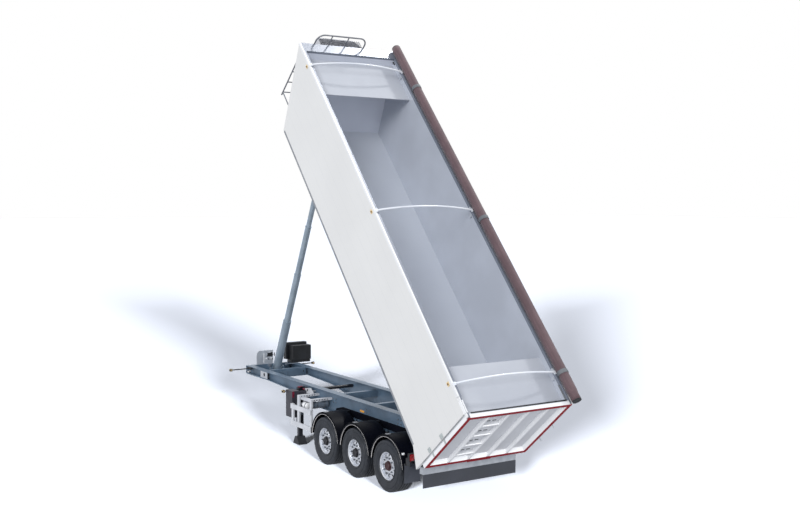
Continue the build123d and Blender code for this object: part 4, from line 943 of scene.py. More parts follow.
# ---------------------------------------------------------------- running gear
@dataclass
class Wheel:
    """One wheel: grooved tyre, dished disc with hand holes, nuts and hub.

    Args:
        side: "left" or "right".
        place: Count from the rear axle.
    """

    side: str
    place: int
    width: float = 0.385
    bead: float = 0.29
    disc_face: float = 0.1305
    disc_wall: float = 0.022
    hole: float = 0.031
    hole_circle: float = 0.215
    holes: int = 10
    bore: float = 0.105
    disc_edge: float = 0.272
    fall_from: float = 0.188
    fall_length: float = 0.07
    fall_depth: float = 0.02
    nut_circle: float = 0.1675
    nut_count: int = 10
    hub_bolt_circle: float = 0.093
    hub_bolts: int = 6
    valve_circle: float = 0.245
    valve_stem: float = 0.0045
    grooves: tuple[float, ...] = (-0.096, -0.033, 0.033, 0.096)
    groove_edge: float = 0.0085
    groove_depth: float = 0.017
    tyre_turns: int = 192
    zigzag: float = 0.005
    zigzag_turns: int = 12
    notch: float = 0.012
    notch_turns: tuple[int, int] = (6, 2)
    sign: int = field(init=False)
    centre: Array = field(init=False)
    radius: float = field(init=False)
    body: str = field(init=False)

    def __post_init__(self) -> None:
        """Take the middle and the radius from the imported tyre."""
        low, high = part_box(f"tyre_{self.side}_{self.place}")
        self.centre = (np.array(low) + np.array(high)) / 2
        self.radius = (high.z - low.z) / 2
        self.sign = 1 if self.side == "left" else -1
        self.body = f"wheel_{self.side}_{self.place}"

    def put_in(self) -> None:
        """Put in the tyre, the rim and the hub."""
        tag = f"{self.side}_{self.place}"
        put(f"treaded_tyre_{tag}", self.tyre(), TYRE_RUBBER, self.body, [f"tyre_{tag}"], 28)
        rim = self.disc() + self.barrel()
        put(f"forged_rim_{tag}", rim, POLISHED, self.body, [f"rim_{tag}"], 24)
        put(f"wheel_nuts_{tag}", self.nuts(), STEEL, self.body)
        hub = HUB_BROWN if self.place == 1 else HUB_DARK
        put(f"hub_{tag}", self.hub(), hub, self.body)
        put(f"air_valve_{tag}", self.valve(), STEEL, self.body)

    def placed(self, shell: Shell) -> Shell:
        """Move a shell drawn about the origin with its outer side up Y onto this wheel."""
        if self.sign < 0:
            shell = shell.flipped(1)
        return shell.mapped(lambda points: points + self.centre)

    def tyre(self) -> Shell:
        """Turn the tyre's section about the axle.

        The section runs round the carcass; four grooves are cut in the tread, and each groove point
        moves sideways by a triangle wave of the turn, so the grooves zigzag. The shoulder points
        dip inwards on every other step, which cuts the shoulder blocks.
        """
        half, top, bead = self.width / 2, self.radius, self.bead
        edge, depth = self.groove_edge, self.groove_depth
        tread = [(half - 0.036, top - 0.0035, 0.0)]
        for middle in self.grooves[::-1]:
            tread += [
                (middle + edge, top, 1.0), (middle + edge * 0.7, top - depth, 1.0),
                (middle - edge * 0.7, top - depth, 1.0), (middle - edge, top, 1.0),
            ]
        tread.append((-half + 0.036, top - 0.0035, 0.0))
        wall = [
            (half - 0.030, bead - 0.004), (half - 0.010, bead + 0.010), (half - 0.002, bead + 0.022),
            (half - 0.001, bead + 0.032), (half - 0.012, bead + 0.040), (half - 0.009, bead + 0.058),
            (half - 0.002, bead + 0.085), (half, bead + 0.11), (half - 0.002, top - 0.100),
            (half - 0.003, top - 0.088), (half - 0.013, top - 0.080), (half - 0.011, top - 0.060),
            (half - 0.005, top - 0.054), (half - 0.009, top - 0.034), (half - 0.016, top - 0.014),
        ]
        left = [(radius, axial, 0.0) for axial, radius in wall]
        middle = [(radius, axial, flag) for axial, radius, flag in tread]
        right = [(radius, -axial, 0.0) for radius, axial, _ in left[::-1]]
        inner = [(bead + 0.03, -half + 0.05, 0.0), (bead + 0.03, half - 0.05, 0.0)]
        section = np.array(left + middle + right + inner)
        shell = revolve(section[:, :2], ORIGIN, ACROSS, UP, self.tyre_turns)
        points = shell.points.reshape(self.tyre_turns, len(section), 3)
        step = np.arange(self.tyre_turns)
        wave = np.abs((step % self.zigzag_turns) / (self.zigzag_turns / 2) - 1) * 2 - 1
        points[:, :, 1] += self.zigzag * wave[:, None] * section[None, :, 2]
        shoulder = np.zeros(len(section))
        shoulder[[len(left) - 2, len(left) - 1, len(left) + len(middle), len(left) + len(middle) + 1]] = 1
        every, cut = self.notch_turns
        notch = ((step % every) < cut)[:, None] * shoulder[None]
        radial = points * [1, 0, 1]
        points -= radial * (notch * self.notch)[..., None]
        return self.placed(Shell(points.reshape(-1, 3), shell.quads[:, ::-1]))

    def disc(self) -> Shell:
        """Dished disc with round hand holes.

        One sector holds one hole. Row s of its grid goes from the hole's circle, s = 0, to the
        sector's outline, s = 1, along straight lines at even angles t round the hole. Its depth
        falls smoothly from the nut face to the rim's bed. The back is the same grid, set in by
        the wall, and the hole, bore and outer edges are closed by short walls.
        """
        inner, outer, half = self.bore, self.disc_edge, math.pi / self.holes
        turn = np.linspace(-half, half, 17)
        ends = np.linspace(0, 1, 9)[1:-1]
        arcs = [
            np.column_stack([outer * np.sin(turn), outer * np.cos(turn)]),
            np.column_stack([np.sin(half) * (outer + (inner - outer) * ends),
                             np.cos(half) * (outer + (inner - outer) * ends)]),
            np.column_stack([inner * np.sin(turn[::-1]), inner * np.cos(turn[::-1])]),
            np.column_stack([-np.sin(half) * (inner + (outer - inner) * ends),
                             np.cos(half) * (inner + (outer - inner) * ends)]),
        ]
        outline = np.vstack(arcs)
        centre = np.array([0.0, self.hole_circle])
        away = outline - centre
        away /= np.linalg.norm(away, axis=1, keepdims=True)
        circle_points = centre + away * self.hole
        share = np.array([0.0, 0.06, 0.25, 0.5, 0.75, 1.0])[:, None, None]
        grid = circle_points[None] + share * (outline - circle_points)[None]
        distance = np.hypot(grid[..., 0], grid[..., 1])
        fall = np.clip((distance - self.fall_from) / self.fall_length, 0, 1)
        depth = self.disc_face - self.fall_depth * fall ** 2 * (3 - 2 * fall)
        depth[0] -= 0.004
        front = np.stack([grid[..., 0], depth, grid[..., 1]], axis=-1)
        back = front[::-1].copy()
        back[..., 1] = (depth - self.disc_wall)[::-1]
        loop = np.concatenate([front, back])
        cols = len(outline)
        quads = lattice(len(loop), cols, True, True)
        kept = np.ones(len(quads), bool).reshape(len(loop), cols)
        sides = np.arange(cols) % (cols // 2) >= len(turn) - 1
        kept[len(front) - 1, sides] = False
        one = Shell(loop.reshape(-1, 3), quads[kept.ravel()][:, ::-1])
        parts = [one.mapped(self.turned(2 * half * i)) for i in range(self.holes)]
        return self.placed(welded(joined(parts)))

    @staticmethod
    def turned(angle: float) -> Callable[[Array], Array]:
        """Give the rule that turns points about the axle by an angle."""
        cos, sin = math.cos(angle), math.sin(angle)
        matrix = np.array([[cos, 0, sin], [0, 1, 0], [-sin, 0, cos]])
        return lambda points: points @ matrix.T

    def barrel(self) -> Shell:
        """Rim bed turned from a closed section, with a rolled lip at each end."""
        half = self.width / 2 - 0.025
        side = [
            (0.268, 0.09), (0.268, half - 0.03), (0.278, half - 0.010), (0.290, half - 0.002),
            (0.302, half + 0.001), (0.305, half - 0.003), (0.304, half - 0.008), (0.294, half - 0.011),
            (0.289, half - 0.018), (0.287, half - 0.03),
        ]
        section = np.array(side + [(radius, -axial) for radius, axial in side[::-1]])
        shell = revolve(section, ORIGIN, ACROSS, UP, 96)
        return self.placed(Shell(shell.points, shell.quads[:, ::-1]))

    def nuts(self) -> Shell:
        """Ring of nuts on round washers."""
        angle = (np.arange(self.nut_count) + 0.5) * 2 * np.pi / self.nut_count
        x, z = self.nut_circle * np.sin(angle), self.nut_circle * np.cos(angle)
        seat = np.column_stack([x, np.full(self.nut_count, self.disc_face), z])
        washer_section = np.array([[0.021, -0.001], [0.021, 0.003], [0.019, 0.0045]])
        washer = lathe(washer_section, ORIGIN, ACROSS, UP, 20)
        studs = lathe(np.array([[0.011, 0.02], [0.011, 0.036], [0.009, 0.038]]), ORIGIN, ACROSS, UP, 12)
        heads = nuts([(0, 0.0045, 0)], ACROSS, UP, 0.033, 0.022)
        return self.placed((washer + studs + heads).copied(seat))

    def hub(self) -> Shell:
        """Hub barrel and cap, an open section turned about the axle and closed at both ends."""
        face = self.disc_face
        section = np.array([
            [0.104, face - 0.09], [0.104, face + 0.004], [0.098, face + 0.010], [0.088, face + 0.012],
            [0.086, face + 0.04], [0.080, face + 0.046], [0.062, face + 0.048], [0.058, face + 0.0465],
            [0.030, face + 0.0465],
        ])
        shell = lathe(section, ORIGIN, ACROSS, UP, 64)
        angle = (np.arange(self.hub_bolts) + 0.25) * 2 * np.pi / self.hub_bolts
        x, z = self.hub_bolt_circle * np.sin(angle), self.hub_bolt_circle * np.cos(angle)
        seats = np.column_stack([x, np.full(self.hub_bolts, face + 0.0105), z])
        return self.placed(shell + nuts(seats, ACROSS, UP, 0.009, 0.006))

    def valve(self) -> Shell:
        """Air valve stem between two hand holes."""
        angle = math.pi / self.holes
        x, z = self.valve_circle * math.sin(angle), self.valve_circle * math.cos(angle)
        foot = np.array([x, self.disc_face - self.fall_depth, z])
        head = foot + [0.004, 0.03, 0.004]
        path = np.array([foot, (foot + head) / 2, head])
        return self.placed(sweep(circle(self.valve_stem, 10), path, FORWARD))


def welded(shell: Shell) -> Shell:
    """Merge points that lie within a hundredth of a millimetre, by rounding and keeping each once."""
    rounded_points = np.round(shell.points, 5)
    _, first, new = np.unique(rounded_points, axis=0, return_index=True, return_inverse=True)
    new = new.ravel()
    return Shell(shell.points[first], new[shell.quads], [new[cap] for cap in shell.caps])


def lathe(section: Array, centre: Triple, axis: Triple, start: Triple, segments: int) -> Shell:
    """Turn an open section about an axis and close both ends with flat faces.

    A section point (r, a) becomes C + a A + r (cos t E + sin t (A x E)); a rises from foot to top
    on the outside.

    Args:
        section: One (radius, place along the axis) a row, foot first.
        centre: Point C.
        axis: Direction A.
        start: Direction E.
        segments: Steps round the turn.

    Returns:
        A closed shell.
    """
    a, e = np.asarray(axis, float), np.asarray(start, float)
    angle = np.linspace(0, 2 * np.pi, segments, endpoint=False)
    out = np.cos(angle)[:, None] * e + np.sin(angle)[:, None] * np.cross(a, e)
    points = np.asarray(centre, float) + section[:, None, :1] * out[None] + section[:, None, 1:] * a
    rows = len(section)
    caps = [np.arange(segments)[::-1], np.arange(segments) + (rows - 1) * segments]
    return Shell(points.reshape(-1, 3), lattice(rows, segments, False, True), caps)


@dataclass
class Fenders:
    """Hanging lips, pale trim lines, clips, fins and lamps of the three mudguards on each side."""

    radius: float = 0.65
    outer: float = 1.262
    lip: float = 0.052
    lap: float = 0.002
    steps: int = 61
    clip: Block = ((-0.03, 1.17, -0.002), (0.07, 1.262, 0.012))
    fin: tuple[tuple[float, float], ...] = ((-0.565, 0.37), (-0.495, 0.39), (-0.53, 0.555))
    fin_y: tuple[float, float] = (0.735, 0.747)
    lamp: Block = ((-0.62, 1.215, 0.885), (-0.55, 1.262, 0.925))
    stem: Block = ((-0.6, 1.225, 0.8), (-0.57, 1.25, 0.89))

    def put_in(self) -> None:
        """Put in every piece for all six mudguards."""
        low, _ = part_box("fenders")
        lips, trims, clips, fins = [], [], [], []
        for place in (1, 2, 3):
            tyre_low, tyre_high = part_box(f"tyre_left_{place}")
            middle = (tyre_low + tyre_high) / 2
            drop = math.asin((low.z - middle.z) / self.radius)
            seat = (middle.x, self.outer, middle.z)
            lip_line = self.arc(seat, self.radius + self.lap - self.lip / 2, drop)
            lips.append(sweep(rounded(0.012, self.lip, 0.004), lip_line, ACROSS))
            trim_line = self.arc(seat, self.radius + self.lap - self.lip, drop)
            trims.append(sweep(rounded(0.014, 0.006, 0.0025), trim_line, ACROSS))
            clips.append(boxes([self.clip]).copied([(middle.x, 0, middle.z + self.radius)]))
            fins.append(slab(self.fin, *self.fin_y).copied([(middle.x, 0, middle.z)]))
        put("fender_lips", mirrored(joined(lips)), WING_BLACK, "chassis")
        put("fender_trims", mirrored(joined(trims)), TRIM_TAN, "chassis")
        put("fender_clips", mirrored(joined(clips)), EDGE_GREY, "chassis")
        put("fender_fins", mirrored(joined(fins)), WING_BLACK, "chassis")
        stems, lamps = mirrored(boxes([self.stem])), mirrored(boxes([self.lamp], 0.008))
        put("fender_lamp_stems", stems.mapped(from_axle), WING_BLACK, "chassis")
        put("fender_lamps", lamps.mapped(from_axle), LENS_CLEAR, "chassis")

    def arc(self, seat: Triple, radius: float, drop: float) -> Array:
        """Half turn over a wheel: seat plus the radius times the cosine and sine of an even angle.

        Args:
            seat: The wheel's middle, with the Y of the line.
            radius: Radius of the line.
            drop: Angle of both ends above the level.

        Returns:
            The line's points.
        """
        angle = np.linspace(drop, math.pi - drop, self.steps)
        x, z = seat[0] + radius * np.cos(angle), seat[2] + radius * np.sin(angle)
        return np.column_stack([x, np.full(self.steps, seat[1]), z])


# ---------------------------------------------------------------- bed
@dataclass
class Gate:
    """Dressing of the tailgate: tape outline, seal, step lips, rib pressings, clips and pins."""

    rear: float = -0.12
    front: float = -0.03
    half: float = 1.25
    bottom: float = 0.05
    top: float = 1.925
    frame: float = 0.055
    sheet: float = 0.018
    border: float = 0.082
    ribs: tuple[float, ...] = (-0.717, -0.239, 0.239, 0.717)
    rib_half: float = 0.034
    steps: tuple[float, ...] = (0.384, 0.745, 1.106, 1.467)
    step_bay: tuple[float, float] = (0.285, 0.670)
    slot_ys: tuple[float, ...] = (0.41, 0.545)
    slot: Block = ((-0.0015, -0.045, 0.075), (0.001, 0.045, 0.108))
    tape_inset: float = 0.003
    tape_out: float = 0.002
    tape_in: float = 0.004
    tape_width: float = 0.080
    bevel_reach: float = 0.072
    marker_y: tuple[float, float] = (-0.36, 0.22)
    seal: Block = ((-0.036, -1.15, 1.912), (-0.006, 1.15, 1.937))
    clip_ys: tuple[float, ...] = (-1.08, -0.72, -0.36, 0.0, 0.36, 0.72, 1.08)
    clip: Block = ((0.006, -0.022, -0.03), (0.034, 0.022, 0.001))
    lug_ws: tuple[float, ...] = (0.505, 0.996)
    lug: Block = ((-0.115, 1.249, -0.025), (-0.035, 1.256, 0.025))
    pin_ws: tuple[float, ...] = (0.644, 1.148)
    pin: Block = ((-0.118, -1.24, 0.0), (-0.188, -1.255, 0.0))

    def put_in(self) -> None:
        """Put in every piece of the gate's dressing."""
        put("gate_tape", self.tape(), TAPE_RED, "tailgate")
        put("gate_bevels", self.bevels(), RAIL_WHITE, "tailgate")
        put("gate_marker", self.marker(), TAPE_RED, "tailgate")
        put("gate_step_lips", self.lips(), RAIL_WHITE, "tailgate")
        put("gate_slots", self.slots(), SEAL_BLACK, "tailgate")
        put("gate_rib_caps", self.rib_caps(), GATE_WHITE, "tailgate")
        put("gate_seal", self.seal_strip(), SEAL_BLACK, "tailgate")
        put("gate_foot_clips", self.clips(), BARE_METAL, "tailgate")
        put("gate_lugs", self.lugs(), LOCK_GREY, "tailgate")
        put("gate_pins", self.pins(), STEEL, "tailgate")

    def tape(self) -> Shell:
        """Closed band of tape round the gate's rear face, along its edge."""
        width = self.tape_width
        y, low, high = self.half - self.tape_inset, self.bottom + self.tape_inset, self.top - self.tape_inset
        back, ahead = self.rear - self.tape_out, self.rear + self.tape_in
        spans = (
            (-y, y, low, low + width), (-y, y, high - width, high),
            (-y, -y + width, low + width, high - width), (y - width, y, low + width, high - width),
        )
        return boxes([((back, y0, w0), (ahead, y1, w1)) for y0, y1, w0, w1 in spans], 0.0005).mapped(to_bed)

    def bevels(self) -> Shell:
        """Sloped strips in the corner between the frame and the sheet, left open at the ribs."""
        back, seat, reach = self.rear + 0.003, self.front - self.sheet + 0.001, self.bevel_reach
        low, high, side = self.bottom + self.border, self.top - self.border, self.half - self.border
        edges = [-side, *[y + d for y in self.ribs for d in (-self.rib_half, self.rib_half)], side]
        bays = list(zip(edges[::2], edges[1::2]))
        foot = [slab([(back, low), (seat, low), (seat, low + reach)], *bay) for bay in bays]
        head = [slab([(back, high), (seat, high - reach), (seat, high)], *bay) for bay in bays]
        upright = slab([(back, side), (seat, side - reach), (seat, side)], low, high)
        turned = upright.mapped(lambda points: points[:, (0, 2, 1)])
        left = Shell(turned.points, turned.quads[:, ::-1], [cap[::-1] for cap in turned.caps])
        return joined([*foot, *head, mirrored(left)]).mapped(to_bed)

    def marker(self) -> Shell:
        """Ribbed red strip under the middle of the foot."""
        low, high = self.marker_y
        strip = ((self.rear - 0.001, low, self.bottom - 0.03), (self.rear + 0.005, high, self.bottom))
        return boxes([strip], 0.001).mapped(to_bed)

    def lips(self) -> Shell:
        """Rounded edges of the four steps in the second bay from the left."""
        inset = 0.014
        starts, ends = ([(self.rear + inset, y, w + inset) for w in self.steps] for y in self.step_bay)
        return rods(starts, ends, rounded(0.024, 0.034, 0.009), FORWARD).mapped(to_bed)

    def slots(self) -> Shell:
        """Two black plates above each step, painted shade for the hand slots' recesses."""
        seats = [(self.front - self.sheet, y, w) for w in self.steps for y in self.slot_ys]
        return boxes([self.slot], 0.0005).copied(seats).mapped(to_bed)

    def rib_caps(self) -> Shell:
        """Rounded pressings along the upright ribs."""
        u = self.rear + 0.011
        ends = (self.bottom + self.frame, self.top - self.frame)
        low, high = ([(u, y, w) for y in self.ribs] for w in ends)
        return rods(low, high, rounded(0.046, 0.012, 0.005), ACROSS).mapped(to_bed)

    def seal_strip(self) -> Shell:
        """Rubber seal along the top of the gate's front."""
        return boxes([self.seal], 0.006).mapped(to_bed)

    def clips(self) -> Shell:
        """Row of small clips under the gate's foot."""
        seats = [(self.rear, y, self.bottom) for y in self.clip_ys]
        return boxes([self.clip], 0.004).copied(seats).mapped(to_bed)

    def lugs(self) -> Shell:
        """Flat lugs on the gate's upright edges, beside the lock plates of the walls."""
        left = boxes([self.lug], 0.002).copied([(0.0, 0.0, w) for w in self.lug_ws])
        return mirrored(left).mapped(to_bed)

    def pins(self) -> Shell:
        """Two locking pins that stand out of the gate's right edge."""
        starts, ends = ([(end[0], end[1], w) for w in self.pin_ws] for end in self.pin)
        return rods(starts, ends, circle(0.007, 12), UP).mapped(to_bed)


@dataclass
class TarpRoll:
    """The rolled cover on the right edge: cloth wound in a spiral, its bands and end caps."""

    rear: float = -0.13
    front: float = 9.85
    y: float = -1.28
    w: float = 2.0403
    radius: float = 0.108
    core: float = 0.03
    turns: float = 6.5
    start_turn: float = 2.2
    cloth: float = 0.003
    taper: float = 0.1
    taper_reach: float = 0.1
    band_us: tuple[float, ...] = (0.52, 4.45, 8.45)
    band_half: float = 0.042
    band_wall: float = 0.0033
    band_gap: float = 0.0012
    tube: float = 0.024
    cap_wall: float = 0.0246

    def put_in(self) -> None:
        """Put in the wound cloth, bands, core and end caps."""
        cloth = put("rolled_cover", self.wound(), ROLL_CLOTH, "bed", ["tarp_roll"], 60)
        thick = cloth.modifiers.new("cloth_wall", "SOLIDIFY")
        thick.thickness = self.cloth
        thick.offset = 0.0
        self.width()
        put("cover_bands", self.bands(), BAND_GREY, "bed")
        put("cover_core", self.core_tube(), STEEL, "bed")
        put("cover_end_caps", self.end_caps(), SEAL_BLACK, "bed")

    def width(self) -> float:
        """Length of the spiral: turns times the mean circumference."""
        return float(self.turns * math.pi * (self.radius + self.core))

    def wound(self) -> Shell:
        """Spiral sheet carried along the bed.

        At turn angle t the radius grows evenly from the core to the outside; a slow ripple along
        the roll, made of two sines, makes it sag a little between its bands. The rear end tapers
        by a tenth, so the raised gate clears it.
        """
        along = np.linspace(self.rear + 0.02, self.front - 0.02, 90)
        angle = np.linspace(0, 2 * np.pi * self.turns, int(40 * self.turns))
        radius = self.core + (self.radius - self.core) * angle / angle[-1]
        ripple = 1 + 0.012 * np.sin(along * 2.1)[:, None] * np.sin(angle + 1.3)[None]
        ripple = ripple + 0.008 * np.sin(along * 7.3 + 2.0)[:, None] * np.sin(2 * angle)[None]
        thinner = 1 - self.taper * np.clip(1 - along / self.taper_reach, 0, 1)
        ripple = np.minimum(ripple, 1.0) * thinner[:, None]
        y = self.y + radius * ripple * np.cos(angle + self.start_turn)
        w = self.w + radius * ripple * np.sin(angle + self.start_turn)
        u = np.broadcast_to(along[:, None], y.shape)
        points = np.stack([u, y, w], axis=-1).reshape(-1, 3)
        quads = lattice(len(along), len(angle), False, False)
        return Shell(to_bed(points), quads)

    def bands(self) -> Shell:
        """Flat rings that hold the roll near the hoops."""
        section = strap(self.radius + self.band_gap, self.band_wall, self.band_half)
        rings = [revolve(section, (u, self.y, self.w), FORWARD, ACROSS, 48) for u in self.band_us]
        return joined(rings).mapped(to_bed)

    def core_tube(self) -> Shell:
        """Winding tube through the middle."""
        path = np.array([[self.rear + 0.01, self.y, self.w], [self.front - 0.01, self.y, self.w]])
        return sweep(circle(self.tube, 20), path, ACROSS).mapped(to_bed)

    def end_caps(self) -> Shell:
        """Dished covers over both ends."""
        section = np.array([
            [0.090, 0.0], [0.096, 0.004], [0.096, 0.018], [0.092, 0.024], [0.06, 0.0245], [0.02, 0.021],
        ])
        rear = lathe(section, (self.rear + self.cap_wall, self.y, self.w), BACKWARD, ACROSS, 48)
        front = lathe(section, (self.front - self.cap_wall, self.y, self.w), FORWARD, ACROSS, 48)
        return (rear + front).mapped(to_bed)


@dataclass
class BedTrim:
    """Small fittings on the raised bed: lock plates, brackets, clips, sleeve and grating."""

    hoops: tuple[float, ...] = (0.6, 4.79, 9.1)
    locks: tuple[float, ...] = (0.46, 0.98)
    foot_strip: Block = ((0.42, 1.2585, 0.0), (8.9, 1.2625, 0.055))
    lock_plate: Block = ((0.01, 1.258, -0.05), (0.10, 1.271, 0.05))
    corner: tuple[Block, ...] = (
        ((-0.012, 1.214, 1.87), (0.255, 1.234, 1.942)), ((-0.012, 1.254, 1.868), (0.255, 1.27, 1.942)),
        ((0.05, 1.232, 1.885), (0.08, 1.256, 1.93)), ((0.19, 1.232, 1.885), (0.22, 1.256, 1.93)),
    )
    clip: Block = ((0.04, 1.2595, 1.774), (0.125, 1.273, 1.84))
    clip_eye: Block = ((0.06, 1.2722, 1.786), (0.10, 1.2746, 1.826))
    hoop_pair: tuple[Block, ...] = (
        ((0.03, -1.201, 1.875), (0.105, -1.16, 1.945)), ((-0.10, -1.201, 1.79), (-0.03, -1.168, 1.845)),
    )
    rail_stop: Block = ((9.03, 1.182, 1.886), (9.085, 1.1905, 1.926))
    wall_handle: Block = ((9.47, -1.201, 1.828), (9.59, -1.17, 1.850))
    sleeve: Block = ((0.015, -1.196, 1.866), (0.363, -1.196, 1.866))
    sleeve_radius: float = 0.014
    grating_y: tuple[float, float] = (-0.4, 0.69)
    grating_w: float = 1.9125

    def put_in(self) -> None:
        """Put in every fitting."""
        by_hoop = [(u, 0.0, 0.0) for u in self.hoops]
        foot_strips = mirrored(boxes([self.foot_strip], 0.001))
        self.fit("bed_foot_strips", foot_strips, EDGE_GREY, "bed_aluminium")
        plates = boxes([self.lock_plate], 0.004).copied([(0.0, 0.0, w) for w in self.locks])
        self.fit("bed_lock_plates", mirrored(plates), LOCK_GREY, "white_paint")
        self.fit("bed_corner_bracket", boxes(self.corner), RAIL_WHITE, "white_paint")
        self.fit("bed_clips", boxes([self.clip], 0.006).copied(by_hoop), LENS_PALE, "lamp_amber")
        self.fit("bed_clip_eyes", boxes([self.clip_eye], 0.001).copied(by_hoop), CLIP_BROWN, "black_plastic")
        self.fit("hoop_brackets", boxes(self.hoop_pair, 0.006).copied(by_hoop), BARE_METAL, "bare_aluminium")
        self.fit("bed_dark_parts", boxes([self.rail_stop, self.wall_handle]), SEAL_BLACK, "black_plastic")
        sleeve = sweep(circle(self.sleeve_radius, 16), np.array(self.sleeve), ACROSS)
        self.fit("bed_sleeve", sleeve, BAND_GREY, "black_plastic")
        self.fit("catwalk_grating", self.grating(), WALK_GREY, "bare_aluminium")

    @staticmethod
    def fit(name: str, shell: Shell, finish: Finish, slot: str) -> None:
        """Turn a shell up with the bed and put it there."""
        put(name, shell.mapped(to_bed), finish, "bed")

    def grating(self) -> Shell:
        """Crossed bars over the catwalk."""
        (y0, y1), w = self.grating_y, self.grating_w
        bars = [((u, y0, w), (u + 0.006, y1, w + 0.012)) for u in np.arange(9.87, 10.09, 0.032)]
        bars += [((9.862, y, w), (10.098, y + 0.006, w + 0.010)) for y in np.arange(y0, y1, 0.06)]
        return boxes(bars, 0.001)


# ---------------------------------------------------------------- chassis fittings
class ChassisGroup:
    """Small parts on the chassis, with X counted from the rear axle."""

    @staticmethod
    def fit(name: str, shell: Shell, finish: Finish, slot: str) -> None:
        """Move a shell from the rear axle's frame and put it on the chassis."""
        put(name, shell.mapped(from_axle), finish, "chassis")


@dataclass
class Lamps(ChassisGroup):
    """Lenses of the rear lamps, the stalk lamps, the side markers and the front lamps."""

    rear: Block = ((-0.937, 1.2, 0.84), (-0.928, 1.31, 0.975))
    stalk_left: Block = ((-0.038, -0.062, -0.033), (0.038, 0.006, 0.033))
    left_ends: tuple[Triple, ...] = ((7.8, 1.3, 1.42), (4.88, 1.2, 1.3))
    right_ends: tuple[Triple, ...] = ((7.8, 1.22, 1.42),)
    marker: Block = ((1.95, 0.625, 1.222), (2.13, 0.638, 1.266))
    front: Block = ((7.93, 0.625, 1.285), (8.02, 0.7, 1.33))

    def put_in(self) -> None:
        """Put in every lens."""
        self.fit("rear_lenses", mirrored(boxes([self.rear], 0.004)), LENS_RED, "lamp_red")
        stalk = boxes([self.stalk_left], 0.008)
        stalks = stalk.copied(self.left_ends) + stalk.copied(self.right_ends).flipped(1)
        self.fit("stalk_lenses", stalks, LENS_PALE, "lamp_amber")
        self.fit("side_markers", mirrored(boxes([self.marker])), LENS_AMBER, "lamp_amber")
        self.fit("front_lamps", mirrored(boxes([self.front], 0.008)), LENS_CLEAR, "lamp_amber")


@dataclass
class Nose(ChassisGroup):
    """Black discs of painted shade in the eyes of the nose and beam, the rail's socket, bolt rows, fender
    carriers that also paint the shade under the fenders, sleeve and gusset.
    """

    eye: Triple = (6.896, 0.725, 1.382)
    eye_radius: float = 0.045
    beam_eye: Triple = (6.95, -0.454, 1.371)
    beam_eye_radius: float = 0.02
    socket: Triple = (7.86, 0.745, 1.43)
    holder: Block = ((7.72, 0.7, 1.405), (7.80, 0.745, 1.455))
    bolt_xs: tuple[float, ...] = (0.5, 1.81, 3.3)
    bolt_zs: tuple[float, ...] = (1.24, 1.32)
    bolt_side: float = 0.06
    bolt_y: float = 0.626
    # Black strip on the web: a mudguard carrier, shaped to the dark band under the fenders, so it also paints
    # the shade there.
    carrier_shade: tuple[tuple[float, float], ...] = (
        (-0.44, 1.03), (3.28, 1.03), (3.2, 1.12), (2.9, 1.195), (-0.44, 1.195),
    )
    carrier_shade_y: tuple[float, float] = (0.6255, 0.632)
    tube: Block = ((4.6, -0.61, 1.322), (4.6, 0.61, 1.322))
    tube_radius: float = 0.041
    gusset: Block = ((6.925, 0.04, 1.282), (6.951, 0.22, 1.405))

    def put_in(self) -> None:
        """Put in every piece."""
        # Black disc: painted shade in the nose plate's round hole.
        self.fit("nose_eye", discs([self.eye], ACROSS, UP, self.eye_radius), SEAL_BLACK, "black_plastic")
        section = np.array([[0.024, 0.0], [0.029, 0.006], [0.029, 0.19], [0.024, 0.2], [0.012, 0.205]])
        socket = lathe(section, self.socket, BACKWARD, ACROSS, 28) + boxes([self.holder], 0.004)
        self.fit("rail_socket", socket, SEAL_BLACK, "black_plastic")
        sides = (-self.bolt_side, self.bolt_side)
        seats = [(x + dx, self.bolt_y, z) for x in self.bolt_xs for dx in sides for z in self.bolt_zs]
        self.fit("web_bolts", nuts(seats, ACROSS, UP, 0.03, 0.014), STEEL, "steel")
        # Black strips on the rail web: carriers, and painted shade under the fenders.
        carriers_and_shade = mirrored(slab(self.carrier_shade, *self.carrier_shade_y))
        self.fit("fender_carriers", carriers_and_shade, WING_BLACK, "black_plastic")
        # Black disc: painted shade in the beam's eye.
        beam_eye = discs([self.beam_eye], BACKWARD, ACROSS, self.beam_eye_radius)
        self.fit("beam_eye", beam_eye, SEAL_BLACK, "black_plastic")
        sleeve = sweep(circle(self.tube_radius, 24), np.array(self.tube), FORWARD)
        self.fit("cross_tube_sleeve", sleeve, LEG_BLACK, "axle_paint")
        self.fit("beam_gusset", boxes([self.gusset], 0.004), CHASSIS_PAINT, "chassis_paint")


